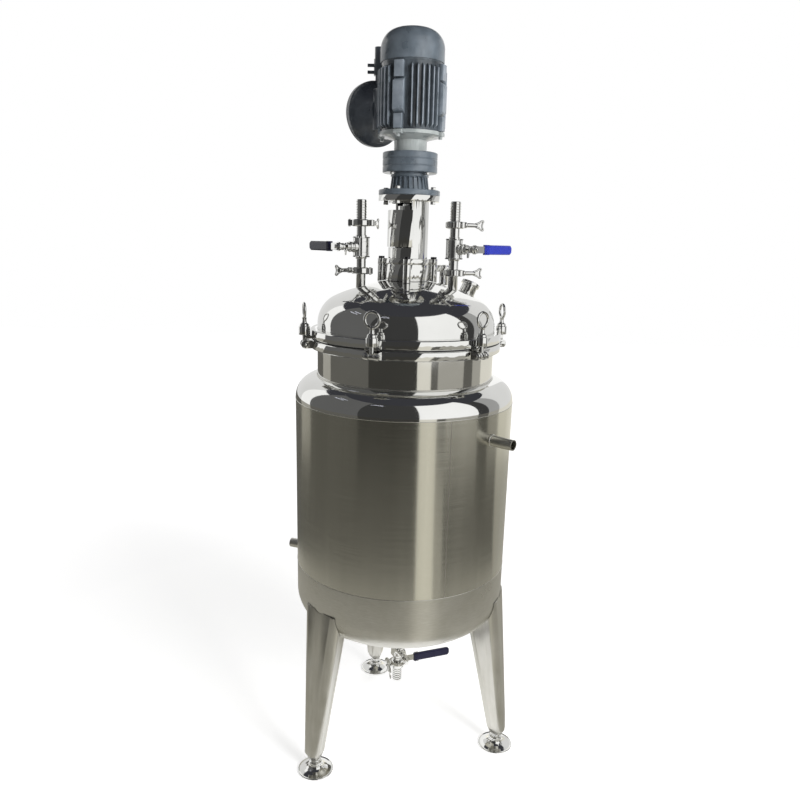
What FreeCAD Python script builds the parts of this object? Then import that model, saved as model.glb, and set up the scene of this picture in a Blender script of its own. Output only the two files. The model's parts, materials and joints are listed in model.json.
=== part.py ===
import math
import os

import FreeCAD
import Part
import Sketcher

# A jacketed stainless steel reactor of about 100 litres on three legs, in millimetres.
# The origin is on the floor under the vessel axis, +Z is up and the front looks along -Y.

SIZES = {
    # vessel and jacket
    "vessel_radius": 228.0,
    "vessel_wall": 4.0,
    "vessel_dish_line": 500.0,
    "head_crown": 405.0,
    "head_knuckle": 78.0,
    "jacket_space": 58.0,
    "jacket_wall": 3.0,
    "jacket_dish_line": 466.0,
    "jacket_crown": 574.0,
    "jacket_knuckle": 80.0,
    "shoulder_top": 1058.0,
    "shoulder_lip": 1.0,
    "port_radius": 13.5,
    "port_bore": 11.0,
    "port_length": 62.0,
    "port_collar": 3.0,
    "outlet_level": 934.0,
    "outlet_azimuth": -40.0,
    "inlet_level": 520.0,
    "inlet_azimuth": 160.0,
    # flanges and gasket
    "flange_width": 17.5,
    "flange_height": 22.5,
    "flange_level": 1130.0,
    "gasket_height": 3.0,
    "gasket_inset": 3.5,
    # swing bolts
    "bolt_count": 6,
    "bolt_azimuth": 14.0,
    "bolt_reach": 16.5,
    "stud_radius": 6.0,
    "pin_radius": 4.0,
    "pin_rise": 11.0,
    "ear_radius": 10.0,
    "ear_width": 36.0,
    "slot_width": 13.6,
    "eye_radius": 8.5,
    "lug_height": 8.0,
    "nut_radius": 14.5,
    "nut_height": 30.0,
    "nut_ring_radius": 17.5,
    "nut_ring_bar": 3.5,
    "nut_neck": 31.0,
    # lid
    "lid_straight": 13.0,
    "lid_wall": 4.0,
    "hub_bore": 26.0,
    "hub_radius": 58.0,
    "hub_top": 1342.0,
    "hub_ear_circle": 66.0,
    "hub_ear_radius": 10.0,
    # lantern
    "lantern_base": 14.0,
    "lantern_radius": 50.0,
    "lantern_bore": 44.0,
    "lantern_height": 137.0,
    "lantern_flange_radius": 76.0,
    "lantern_flange_height": 14.0,
    "window_azimuth": 206.5,
    "window_span": 147.0,
    "window_sill": 26.0,
    "window_height": 107.0,
    "guard_height": 88.0,
    "guard_wall": 2.0,
    # reducer
    "drive_flange_height": 13.0,
    "reducer_foot_radius": 44.0,
    "reducer_foot_height": 40.0,
    "rib_count": 24,
    "rib_depth": 3.5,
    "rib_thickness": 2.6,
    "casing_radius": 67.5,
    "casing_height": 47.0,
    "casing_groove": 1.5,
    # motor
    "adapter_radius": 40.0,
    "adapter_height": 28.0,
    "shield_height": 18.0,
    "shield_band": 8.0,
    "motor_radius": 72.0,
    "motor_length": 153.0,
    "fin_depth": 11.0,
    "fin_thickness": 3.0,
    "fin_chamfer": 9.0,
    "fins_a_side": 6,
    "first_fin": 23.0,
    "fin_spacing": 9.5,
    "rib_azimuth": -112.0,
    "rib_plate_width": 26.0,
    "rib_plate_height": 84.0,
    "rib_lug_height": 34.0,
    "tie_bolt_radius": 4.5,
    "rotor_radius": 42.0,
    "rotor_shaft": 12.0,
    "cover_radius": 76.5,
    "cover_height": 75.0,
    "cover_bend": 44.0,
    "cover_wall": 2.0,
    "grille_slots": 12,
    "fan_radius": 62.0,
    "fan_blades": 8,
    # terminal box
    "box_azimuth": 125.0,
    "box_level": 1715.0,
    "box_neck_width": 84.0,
    "box_neck_height": 96.0,
    "box_neck_reach": 106.0,
    "box_bowl_bend": 90.0,
    "box_rim_radius": 80.0,
    "box_rim_reach": 160.0,
    "box_rim_height": 14.0,
    "box_cover_height": 20.0,
    "gland_reach": 152.0,
    "gland_height": 76.0,
    "gland_radius": 13.0,
    # agitator
    "shaft_radius": 15.0,
    "anchor_side_gap": 21.0,
    "anchor_blade": 24.0,
    "anchor_thickness": 12.0,
    "anchor_height": 330.0,
    "anchor_gap": 34.0,
    "coupling_radius": 27.0,
    "coupling_height": 62.0,
    # lid fittings
    "stack_azimuth": 21.0,
    "stack_circle": 123.0,
    "pipe_radius": 12.0,
    "pipe_bore": 9.0,
    "ferrule_radius": 17.0,
    "ferrule_height": 3.0,
    "clamp_radius": 24.0,
    "clamp_height": 17.0,
    "clamp_lug": 28.0,
    "wing_reach": 64.0,
    "lower_joint": 1325.0,
    "valve_level": 1382.0,
    "upper_joint": 1439.0,
    "hose_tail_length": 55.0,
    "hose_tail_radius": 13.5,
    # ball valves
    "valve_radius": 19.0,
    "valve_height": 43.0,
    "valve_collar": 7.0,
    "ball_radius": 15.0,
    "stem_radius": 5.0,
    "stem_reach": 66.0,
    "bonnet_reach": 40.0,
    "lever_length": 148.0,
    "lever_width": 17.0,
    "lever_thickness": 4.0,
    "grip_length": 110.0,
    "grip_width": 23.0,
    "grip_thickness": 11.0,
    "right_stem_azimuth": -42.0,
    "left_stem_azimuth": -145.0,
    # drain
    "drain_valve_level": 254.0,
    "drain_joint": 203.0,
    "drain_stem_azimuth": -68.0,
    "drain_lever_length": 134.0,
    # rear fittings
    "rear_nozzle_circle": 154.0,
    "rear_nozzle_azimuth": 51.0,
    "rear_joint": 1330.0,
    "sight_azimuth": 28.0,
    "sight_tilt": 26.0,
    "sight_radius": 21.0,
    "sight_bore": 15.0,
    "sight_length": 34.0,
    # legs and feet
    "leg_azimuth": -15.0,
    "leg_reach": 13.0,
    "leg_shoulder": 66.0,
    "leg_bottom": 42.0,
    "leg_end_taper": 15.0,
    "leg_top_depth": 104.0,
    "leg_end_radius": 26.0,
    "foot_radius": 48.0,
    "foot_rim": 4.0,
    "foot_cone": 12.0,
    "foot_hub_radius": 18.0,
    "foot_hub_height": 27.0,
    "foot_stem_radius": 12.0,
    "foot_stem_length": 46.0,
    # fits
    "running_gap": 0.4,
}

doc = FreeCAD.newDocument("Reactor")
sheet = doc.addObject("Spreadsheet::Sheet", "Sizes")
for row, (alias, number) in enumerate(SIZES.items(), start=1):
    sheet.set(f"A{row}", alias)
    sheet.set(f"B{row}", str(number))
    sheet.setAlias(f"B{row}", alias)
doc.recompute()


class Size:
    """A number together with the expression that works it out from the sheet."""

    def __init__(self, number, text):
        self.number = float(number)
        self.text = text

    def __str__(self):
        return self.text

    def __add__(self, other):
        return Size(self.number + plain(other), f"({self} + {other})")

    def __radd__(self, other):
        return Size(plain(other) + self.number, f"({other} + {self})")

    def __sub__(self, other):
        return Size(self.number - plain(other), f"({self} - {other})")

    def __rsub__(self, other):
        return Size(plain(other) - self.number, f"({other} - {self})")

    def __mul__(self, other):
        return Size(self.number * plain(other), f"({self} * {other})")

    def __rmul__(self, other):
        return Size(plain(other) * self.number, f"({other} * {self})")

    def __truediv__(self, other):
        return Size(self.number / plain(other), f"({self} / {other})")

    def __rtruediv__(self, other):
        return Size(plain(other) / self.number, f"({other} / {self})")

    def __neg__(self):
        return Size(-self.number, f"(-1 * {self})")


class SheetSizes:
    """Reads each size by its name in the sheet."""

    def __getattr__(self, alias):
        return Size(getattr(sheet, alias), f"Sizes.{alias}")


def plain(value):
    return value.number if isinstance(value, Size) else float(value)


def root(value):
    return Size(math.sqrt(plain(value)), f"sqrt({value})")


def cosine(degrees):
    return Size(math.cos(math.radians(plain(degrees))), f"cos({degrees})")


def sine(degrees):
    return Size(math.sin(math.radians(plain(degrees))), f"sin({degrees})")


s = SheetSizes()
nodes = []


# Helpers for solids

def bind(item, **sizes):
    for name, value in sizes.items():
        setattr(item, name, plain(value))
        if isinstance(value, Size):
            item.setExpression(name, value.text)
    return item


def place(item, x=0, y=0, z=0, turn=0, tilt=0):
    """Tilts the item about its Y axis, turns it about Z and moves it to x, y, z."""
    item.setExpression(
        "Placement",
        f"placement(vector({x}; {y}; {z}); rotationz({turn}) * rotationy({tilt}))",
    )
    return item


def cylinder(radius, height, **spot):
    item = bind(doc.addObject("Part::Cylinder", "Cylinder"), Radius=radius, Height=height)
    return place(item, **spot)


def sector(radius, height, span, **spot):
    item = cylinder(radius, height, **spot)
    return bind(item, Angle=span)


def cone(bottom, top, height, **spot):
    item = bind(doc.addObject("Part::Cone", "Cone"), Radius1=bottom, Radius2=top, Height=height)
    return place(item, **spot)


def ball(radius, **spot):
    return place(bind(doc.addObject("Part::Sphere", "Sphere"), Radius=radius), **spot)


def torus(radius, bar, **spot):
    return place(bind(doc.addObject("Part::Torus", "Torus"), Radius1=radius, Radius2=bar), **spot)


def block(length, width, height, x=0, y=0, z=0):
    """A box that starts at x and z and is centred on y."""
    item = bind(doc.addObject("Part::Box", "Box"), Length=length, Width=width, Height=height)
    return place(item, x=x, y=y - width / 2, z=z)


def fuse(*items):
    whole = doc.addObject("Part::MultiFuse", "Fuse")
    whole.Shapes = list(items)
    whole.Refine = True
    return whole


def cut(base, *tools):
    item = doc.addObject("Part::Cut", "Cut")
    item.Base = base
    item.Tool = tools[0] if len(tools) == 1 else fuse(*tools)
    return item


def group(*items):
    whole = doc.addObject("Part::Compound", "Compound")
    whole.Links = list(items)
    return whole


def node(item, name, **spot):
    """Names a finished sub-part, and turns or moves it where a spot is given."""
    item.Label = name
    if spot:
        place(item, **spot)
    nodes.append(item)
    return item


# Helpers for sketched bodies

class Bend:
    """An arc between two points of an outline, with its centre left or right of the way."""

    def __init__(self, radius, side):
        self.radius = radius
        self.side = side


def new_body(name):
    return doc.addObject("PartDesign::Body", name)


def sketch_on(body, role, offset=0):
    sketch = body.newObject("Sketcher::SketchObject", "Sketch")
    plane = next(item for item in body.Origin.OriginFeatures if item.Role == role)
    sketch.AttachmentSupport = [(plane, "")]
    sketch.MapMode = "FlatFace"
    if isinstance(offset, Size):
        sketch.setExpression("AttachmentOffset.Base.z", offset.text)
    return sketch


def constrain(sketch, kind, *where, value=None):
    if value is None:
        return sketch.addConstraint(Sketcher.Constraint(kind, *where))
    index = sketch.addConstraint(Sketcher.Constraint(kind, *where, plain(value)))
    if isinstance(value, Size):
        sketch.setExpression(f"Constraints[{index}]", value.text)
    return index


def fix_point(sketch, geometry, end, across, up):
    """Holds one end of a line or arc at its distances from the sketch's origin."""
    for value, kind, axis in ((across, "DistanceX", -2), (up, "DistanceY", -1)):
        if isinstance(value, Size) or value != 0:
            constrain(sketch, kind, -1, 1, geometry, end, value=value)
        else:
            constrain(sketch, "PointOnObject", geometry, end, axis)


def arc_between(start, end, radius, side):
    """The circle's centre and the arc's two angles, counted counterclockwise."""
    middle = (start + end) * 0.5
    along = end - start
    reach = math.sqrt(max(radius**2 - (along.Length / 2) ** 2, 0.0))
    left = FreeCAD.Vector(-along.y, along.x, 0).normalize()
    centre = middle + left * (reach * side)
    first, last = (start, end) if side > 0 else (end, start)
    angles = [math.atan2(point.y - centre.y, point.x - centre.x) for point in (first, last)]
    if angles[1] < angles[0]:
        angles[1] += 2 * math.pi
    return Part.ArcOfCircle(Part.Circle(centre, FreeCAD.Vector(0, 0, 1), radius), *angles)


def fix_bend(sketch, index, bend):
    """Holds an arc by its radius, or a half circle by its centre between its ends."""
    arc = sketch.Geometry[index]
    chord = (arc.StartPoint - arc.EndPoint).Length
    if abs(chord - 2 * arc.Radius) < 0.001:
        constrain(sketch, "Symmetric", index, 1, index, 2, index, 3)
    else:
        constrain(sketch, "Radius", index, value=bend.radius)


def outline(body, role, path, offset=0):
    """A closed sketch through the points of a path, with a Bend where an edge is round."""
    sketch = sketch_on(body, role, offset)
    points = [item for item in path if not isinstance(item, Bend)]
    bends = []
    for item in path:
        if isinstance(item, Bend):
            bends[-1] = item
        else:
            bends.append(None)
    ends = []
    for number, point in enumerate(points):
        after = points[(number + 1) % len(points)]
        start = FreeCAD.Vector(plain(point[0]), plain(point[1]), 0)
        end = FreeCAD.Vector(plain(after[0]), plain(after[1]), 0)
        bend = bends[number]
        if bend is None:
            index = sketch.addGeometry(Part.LineSegment(start, end))
            ends.append((index, 1, 2))
        else:
            arc = arc_between(start, end, plain(bend.radius), bend.side)
            index = sketch.addGeometry(arc)
            ends.append((index, 1, 2) if bend.side > 0 else (index, 2, 1))
    for number, (index, _, last) in enumerate(ends):
        following = ends[(number + 1) % len(ends)]
        constrain(sketch, "Coincident", index, last, following[0], following[1])
    for number, (index, first, _) in enumerate(ends):
        fix_point(sketch, index, first, *points[number])
        if bends[number] is not None:
            fix_bend(sketch, index, bends[number])
    return sketch


def circle(body, role, radius, across, up, offset=0):
    sketch = sketch_on(body, role, offset)
    centre = FreeCAD.Vector(plain(across), plain(up), 0)
    index = sketch.addGeometry(Part.Circle(centre, FreeCAD.Vector(0, 0, 1), plain(radius)))
    fix_point(sketch, index, 3, across, up)
    constrain(sketch, "Radius", index, value=radius)
    return sketch


def revolve(name, path):
    """A body turned about Z from an outline of radius and height."""
    body = new_body(name)
    sketch = outline(body, "XZ_Plane", path)
    turned = body.newObject("PartDesign::Revolution", "Revolution")
    turned.Profile = sketch
    turned.ReferenceAxis = (sketch, ["V_Axis"])
    turned.Angle = 360.0
    sketch.Visibility = False
    return body


def pad(body, sketch, length, midplane=True):
    item = body.newObject("PartDesign::Pad", "Pad")
    item.Profile = sketch
    item.Midplane = midplane
    return bind(item, Length=length)


def pocket(body, sketch, length, midplane=True):
    item = body.newObject("PartDesign::Pocket", "Pocket")
    item.Profile = sketch
    item.Midplane = midplane
    return bind(item, Length=length)


def repeat_round(body, features, count):
    """Repeats features round the Z axis and makes the pattern the end of the body."""
    pattern = body.newObject("PartDesign::PolarPattern", "PolarPattern")
    pattern.Originals = features
    axis = next(item for item in body.Origin.OriginFeatures if item.Role == "Z_Axis")
    pattern.Axis = (axis, [""])
    pattern.Angle = 360.0
    pattern.Occurrences = int(plain(count))
    pattern.setExpression("Occurrences", count.text)
    body.Tip = pattern
    return pattern


# Shared radii and levels

jacket_radius = s.vessel_radius + s.jacket_space
shoulder_bend = s.jacket_space - s.shoulder_lip
flange_radius = s.vessel_radius + s.flange_width
bolt_circle = flange_radius + s.bolt_reach
leg_circle = jacket_radius + s.leg_reach
ring_bottom = s.flange_level
ring_top = ring_bottom + s.flange_height
lid_ring_bottom = ring_top + s.gasket_height
lid_ring_top = lid_ring_bottom + s.flange_height
lid_dish_line = lid_ring_top + s.lid_straight
head_rise = root((s.head_crown - s.head_knuckle) * (s.head_crown - s.head_knuckle)
                 - (s.vessel_radius - s.head_knuckle) * (s.vessel_radius - s.head_knuckle))
jacket_rise = root((s.jacket_crown - s.jacket_knuckle) * (s.jacket_crown - s.jacket_knuckle)
                   - (jacket_radius - s.jacket_knuckle) * (jacket_radius - s.jacket_knuckle))
lid_ball_level = lid_dish_line - head_rise
lid_crown_level = lid_ball_level + s.head_crown
vessel_bottom = s.vessel_dish_line + head_rise - s.head_crown
jacket_bottom = s.jacket_dish_line + jacket_rise - s.jacket_crown
lantern_bottom = s.hub_top + s.lantern_base
lantern_top = lantern_bottom + s.lantern_height
drive_bottom = lantern_top + s.lantern_flange_height
drive_top = drive_bottom + s.drive_flange_height
casing_bottom = drive_top + s.reducer_foot_height
casing_top = casing_bottom + s.casing_height
shield_bottom = casing_top + s.adapter_height
motor_bottom = shield_bottom + s.shield_height
motor_top = motor_bottom + s.motor_length
cover_top = motor_top + s.cover_height
pin_level = ring_bottom + s.pin_rise


def head_path(radius, crown, knuckle, line, rise, wall, up):
    """Outer and inner edge of a dished head, from its wall to the axis and back."""
    lean = (radius - knuckle) / (crown - knuckle)
    level = rise / (crown - knuckle)
    ball_level = line - rise * up
    side = up
    outer = [
        (radius, line),
        Bend(knuckle, side),
        (crown * lean, ball_level + crown * level * up),
        Bend(crown, side),
        (0, ball_level + crown * up),
    ]
    inner = [
        (0, ball_level + (crown - wall) * up),
        Bend(crown - wall, -side),
        ((crown - wall) * lean, ball_level + (crown - wall) * level * up),
        Bend(knuckle - wall, -side),
        (radius - wall, line),
    ]
    return outer, inner


# Vessel and jacket

def make_vessel():
    outer, inner = head_path(s.vessel_radius, s.head_crown, s.head_knuckle,
                             s.vessel_dish_line, head_rise, s.vessel_wall, -1)
    path = [(s.vessel_radius, ring_top)] + outer + inner + [(s.vessel_radius - s.vessel_wall, ring_top)]
    shell = revolve("VesselShell", path)
    drain = cylinder(s.pipe_bore, 3 * s.vessel_wall, z=vessel_bottom - s.vessel_wall)
    node(cut(shell, drain), "vessel_shell")


def make_jacket():
    outer, inner = head_path(jacket_radius, s.jacket_crown, s.jacket_knuckle,
                             s.jacket_dish_line, jacket_rise, s.jacket_wall, -1)
    neck = s.vessel_radius + s.running_gap
    bend_end = s.shoulder_top - shoulder_bend
    path = [
        (neck, s.shoulder_top - s.jacket_wall),
        (neck, s.shoulder_top),
        (jacket_radius - shoulder_bend, s.shoulder_top),
        Bend(shoulder_bend, -1),
        (jacket_radius, bend_end),
    ] + outer + inner + [
        (jacket_radius - s.jacket_wall, bend_end),
        Bend(shoulder_bend - s.jacket_wall, 1),
        (jacket_radius - shoulder_bend, s.shoulder_top - s.jacket_wall),
    ]
    shell = revolve("JacketShell", path)
    drain = cylinder(s.pipe_radius + s.running_gap, 4 * s.jacket_wall, z=jacket_bottom - s.jacket_wall)
    holes = [drain]
    for level, azimuth in ((s.outlet_level, s.outlet_azimuth), (s.inlet_level, s.inlet_azimuth)):
        reach = jacket_radius - 4 * s.jacket_wall
        holes.append(cylinder(s.port_bore, 6 * s.jacket_wall, x=reach * cosine(azimuth),
                              y=reach * sine(azimuth), z=level, turn=azimuth, tilt=90))
    node(cut(shell, *holes), "jacket_shell")


def make_jacket_port(name, level, azimuth):
    start = jacket_radius - 3 * s.jacket_wall
    length = s.port_length + 3 * s.jacket_wall
    pipe = cylinder(s.port_radius, length, x=start, z=level, tilt=90)
    weld = cylinder(s.port_radius + s.port_collar, 3 * s.jacket_wall + s.port_collar, x=start, z=level, tilt=90)
    bore = cylinder(s.port_bore, length + 2, x=start - 1, z=level, tilt=90)
    wall = cylinder(jacket_radius, 4 * s.port_radius, z=level - 2 * s.port_radius)
    node(cut(fuse(pipe, weld), bore, wall), name, turn=azimuth)


# Flanges and swing bolts

def ring_path(bore, radius, bottom, top, chamfer):
    return [
        (bore, bottom),
        (radius - chamfer, bottom),
        (radius, bottom + chamfer),
        (radius, top - chamfer),
        (radius - chamfer, top),
        (bore, top),
    ]


def make_vessel_flange():
    ring_chamfer = 2
    body = revolve("VesselFlange", ring_path(s.vessel_radius + s.running_gap, flange_radius,
                                             ring_bottom, ring_top, ring_chamfer))
    inner = flange_radius - 5
    ear_path = [
        (inner, pin_level - s.ear_radius),
        (bolt_circle, pin_level - s.ear_radius),
        Bend(s.ear_radius, 1),
        (bolt_circle, pin_level + s.ear_radius),
        (inner, pin_level + s.ear_radius),
    ]
    ear = pad(body, outline(body, "XZ_Plane", ear_path), s.ear_width)
    slot_start = bolt_circle - s.ear_radius - 2
    slot_path = [
        (slot_start, ring_bottom - 5),
        (bolt_circle + 2 * s.ear_radius, ring_bottom - 5),
        (bolt_circle + 2 * s.ear_radius, ring_top + 5),
        (slot_start, ring_top + 5),
    ]
    slot = pocket(body, outline(body, "XZ_Plane", slot_path), s.slot_width)
    hole = pocket(body, circle(body, "XZ_Plane", s.pin_radius, bolt_circle, pin_level), 2 * s.ear_width)
    repeat_round(body, [ear, slot, hole], s.bolt_count)
    node(body, "vessel_flange", turn=s.bolt_azimuth)


def make_lid_flange():
    ring_chamfer = 2
    body = revolve("LidFlange", ring_path(s.vessel_radius + s.running_gap, flange_radius,
                                          lid_ring_bottom, lid_ring_top, ring_chamfer))
    slot_radius = s.slot_width / 2
    half = s.ear_width / 2
    inner = flange_radius - 5
    lug_path = [
        (inner, -half),
        (bolt_circle, -half),
        (bolt_circle, -slot_radius),
        Bend(slot_radius, -1),
        (bolt_circle, slot_radius),
        (bolt_circle, half),
        (inner, half),
    ]
    lug = pad(body, outline(body, "XY_Plane", lug_path, lid_ring_bottom), s.lug_height, midplane=False)
    repeat_round(body, [lug], s.bolt_count)
    node(body, "lid_flange", turn=s.bolt_azimuth)


def make_gasket():
    bore = s.vessel_radius
    path = ring_path(bore, flange_radius - s.gasket_inset, ring_top, lid_ring_bottom, 0.5)
    node(revolve("FlangeGasket", path), "flange_gasket")


def bolt_direction(number):
    return s.bolt_azimuth + number * 360 / s.bolt_count


def make_swing_bolt(number):
    nut_bottom = lid_ring_bottom + s.lug_height + s.running_gap
    nut_top = nut_bottom + s.nut_height
    ring_level = nut_top + s.nut_neck
    eye_width = s.slot_width - 2 * s.running_gap
    eye = cylinder(s.eye_radius, eye_width, y=-eye_width / 2, z=pin_level, turn=90, tilt=90)
    stud = cylinder(s.stud_radius, nut_bottom - pin_level + 4, z=pin_level)
    nut = cylinder(s.nut_radius, s.nut_height, z=nut_bottom)
    neck = cylinder(s.stud_radius, s.nut_neck - s.nut_ring_radius, z=nut_top)
    ring = torus(s.nut_ring_radius, s.nut_ring_bar, z=ring_level, turn=0, tilt=90)
    hole = cylinder(s.pin_radius + s.running_gap, 2 * eye_width, y=-eye_width, z=pin_level, turn=90, tilt=90)
    solid = cut(fuse(eye, stud, nut, neck, ring), hole)
    azimuth = bolt_direction(number)
    node(solid, f"swing_bolt_{number + 1}", x=bolt_circle * cosine(azimuth),
         y=bolt_circle * sine(azimuth), turn=azimuth)


def make_bolt_pins():
    length = s.ear_width + 4
    pins = []
    for number in range(int(plain(s.bolt_count))):
        azimuth = bolt_direction(number)
        x = bolt_circle * cosine(azimuth) + length / 2 * sine(azimuth)
        y = bolt_circle * sine(azimuth) - length / 2 * cosine(azimuth)
        pins.append(cylinder(s.pin_radius, length, x=x, y=y, z=pin_level, turn=azimuth + 90, tilt=90))
    node(group(*pins), "bolt_pins")


# Lid, hub and lantern

def crown_ball():
    """The outer ball of the lid's crown, which everything welded on the lid is cut to."""
    return ball(s.head_crown, z=lid_ball_level)


def sight_spot(reach):
    """A point on the sight port's axis, at a distance from the centre of the crown ball."""
    out = reach * sine(s.sight_tilt)
    return {
        "x": out * cosine(s.sight_azimuth),
        "y": out * sine(s.sight_azimuth),
        "z": lid_ball_level + reach * cosine(s.sight_tilt),
        "turn": s.sight_azimuth,
        "tilt": s.sight_tilt,
    }


def stack_spots():
    left = -180 + s.stack_azimuth
    right = -s.stack_azimuth
    return {
        "left": (s.stack_circle * cosine(left), s.stack_circle * sine(left)),
        "right": (s.stack_circle * cosine(right), s.stack_circle * sine(right)),
    }


def rear_spot():
    return (s.rear_nozzle_circle * cosine(s.rear_nozzle_azimuth),
            s.rear_nozzle_circle * sine(s.rear_nozzle_azimuth))


def make_lid():
    outer, inner = head_path(s.vessel_radius, s.head_crown, s.head_knuckle,
                             lid_dish_line, head_rise, s.lid_wall, 1)
    path = ([(s.vessel_radius, lid_ring_bottom)] + outer + inner
            + [(s.vessel_radius - s.lid_wall, lid_ring_bottom)])
    shell = revolve("LidShell", path)
    drop = s.head_crown / 8
    holes = [cylinder(s.hub_bore, 2 * drop, z=lid_crown_level - drop)]
    for x, y in list(stack_spots().values()) + [rear_spot()]:
        holes.append(cylinder(s.pipe_bore, 2 * drop, x=x, y=y, z=lid_crown_level - 2 * drop))
    holes.append(cylinder(s.sight_bore, 2 * s.lid_wall, **sight_spot(s.head_crown - 1.5 * s.lid_wall)))
    node(cut(shell, *holes), "lid_shell")


def round_ears(radius, height, level, circle_radius):
    ears = []
    for quarter in range(4):
        azimuth = 90 * quarter
        x = circle_radius * round(math.cos(math.radians(azimuth)))
        y = circle_radius * round(math.sin(math.radians(azimuth)))
        ears.append(cylinder(radius, height, x=x, y=y, z=level))
    return ears


def make_hub():
    start = lid_crown_level - 12
    height = s.hub_top - start
    block_body = cylinder(s.hub_radius - 1, height, z=start)
    ears = round_ears(s.hub_ear_radius, height, start, s.hub_ear_circle)
    bore = cylinder(s.hub_bore, height + 2, z=start - 1)
    node(cut(fuse(block_body, *ears), bore, crown_ball()), "lid_hub")


def make_shaft_seal():
    bore = s.shaft_radius + s.running_gap
    bottom = lid_crown_level - s.lid_wall
    step = s.hub_top + s.lantern_base / 2
    path = [
        (bore, bottom),
        (s.hub_bore, bottom),
        (s.hub_bore, step),
        (bore + 6, step),
        (bore + 6, lantern_bottom + 8),
        (bore, lantern_bottom + 8),
    ]
    node(revolve("ShaftSeal", path), "shaft_seal")


def make_lantern():
    base = cylinder(s.hub_radius, s.lantern_base, z=s.hub_top)
    ears = round_ears(s.hub_ear_radius, s.lantern_base, s.hub_top, s.hub_ear_circle)
    tube = cylinder(s.lantern_radius, s.lantern_height, z=lantern_bottom)
    flange = cylinder(s.lantern_flange_radius, s.lantern_flange_height, z=lantern_top)
    throat = cylinder(s.hub_bore, s.lantern_base + 2, z=s.hub_top - 1)
    bore = cylinder(s.lantern_bore, s.lantern_height + s.lantern_flange_height + 1, z=lantern_bottom)
    window = sector(s.lantern_radius + 10, s.window_height, s.window_span,
                    z=lantern_bottom + s.window_sill, turn=s.window_azimuth - s.window_span / 2)
    node(cut(fuse(base, tube, flange, *ears), throat, bore, window), "lantern")


def make_window_guard():
    level = lantern_bottom + s.window_sill + 2
    span = s.window_span + 8
    start = s.window_azimuth - span / 2
    inner = s.lantern_radius + s.running_gap
    plate = sector(inner + s.guard_wall, s.guard_height, span, z=level, turn=start)
    bore = cylinder(inner, s.guard_height + 2, z=level - 1)
    node(cut(plate, bore), "window_guard")


def make_hub_bolts():
    head_radius = 7.5
    head_height = 5
    heads = round_ears(head_radius, head_height, lantern_bottom, s.hub_ear_circle)
    node(group(*heads), "hub_bolts")


# Reducer and motor

def make_drive_foot():
    flange = s.lantern_flange_radius
    foot = s.reducer_foot_radius
    bore = s.shaft_radius + s.running_gap
    path = [
        (bore, drive_bottom),
        (flange - 1.5, drive_bottom),
        (flange, drive_bottom + 1.5),
        (flange, drive_top - 1.5),
        (flange - 1.5, drive_top),
        (foot + 2, drive_top),
        (foot - 4, casing_bottom - 12),
        (foot + 3, casing_bottom - 8),
        (foot + 3, casing_bottom),
        (bore, casing_bottom),
    ]
    body = revolve("ReducerFoot", path)
    rib_path = [
        (foot - 8, drive_top - 2),
        (foot + s.rib_depth + 1, drive_top - 2),
        (foot + s.rib_depth - 3, casing_bottom - 9),
        (foot - 8, casing_bottom - 9),
    ]
    rib = pad(body, outline(body, "XZ_Plane", rib_path), s.rib_thickness)
    repeat_round(body, [rib], s.rib_count)
    node(body, "reducer_foot")


def make_gear_casing():
    """Three discs with a groove between each two."""
    bore = s.rotor_shaft + s.running_gap
    radius = s.casing_radius
    groove = s.casing_groove
    inner = radius - groove
    disc_height = s.casing_height / 3
    path = [(bore, casing_bottom), (inner, casing_bottom)]
    for number in range(3):
        bottom = casing_bottom + disc_height * number
        path.append((radius, bottom + groove))
        path.append((radius, bottom + disc_height - groove))
        path.append((inner, bottom + disc_height))
    path.append((bore, casing_top))
    node(revolve("GearCasing", path), "gear_casing")


def radial_plate(width, root, tip, bottom, top, chamfer, azimuth):
    """An upright plate that stands out from the motor, its far edge shorter by two chamfers."""
    item = bind(doc.addObject("Part::Wedge", "Wedge"), Xmin=-width / 2, Xmax=width / 2, X2min=-width / 2,
                X2max=width / 2, Ymin=0, Ymax=tip - root, Zmin=0, Zmax=top - bottom, Z2min=chamfer,
                Z2max=top - bottom - chamfer)
    return place(item, x=root * cosine(azimuth), y=root * sine(azimuth), z=bottom, turn=azimuth - 90)


def rib_directions():
    return [s.rib_azimuth + 90 * quarter for quarter in range(4)]


def make_end_shield():
    bore = s.rotor_shaft + s.running_gap
    rim = s.motor_radius + 5
    band_bottom = motor_bottom - s.shield_band
    path = [
        (bore, casing_top),
        (s.adapter_radius, casing_top),
        (s.adapter_radius, shield_bottom),
        (s.adapter_radius + 6, shield_bottom + 2),
        (rim - 8, band_bottom - 2),
        (rim, band_bottom),
        (rim, motor_bottom),
        (bore, motor_bottom),
    ]
    pieces = [revolve("EndShield", path)]
    for azimuth in rib_directions():
        lug_tip = s.motor_radius + s.fin_depth + 1
        pieces.append(radial_plate(s.rib_plate_width - 6, s.motor_radius - 8, lug_tip, band_bottom - 3,
                                   motor_bottom, 1, azimuth))
        bolt_circle_radius = lug_tip - 1.5 * s.tie_bolt_radius
        pieces.append(cylinder(s.tie_bolt_radius, 8, x=bolt_circle_radius * cosine(azimuth),
                               y=bolt_circle_radius * sine(azimuth), z=band_bottom - 9))
    node(fuse(*pieces), "motor_end_shield")


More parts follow.
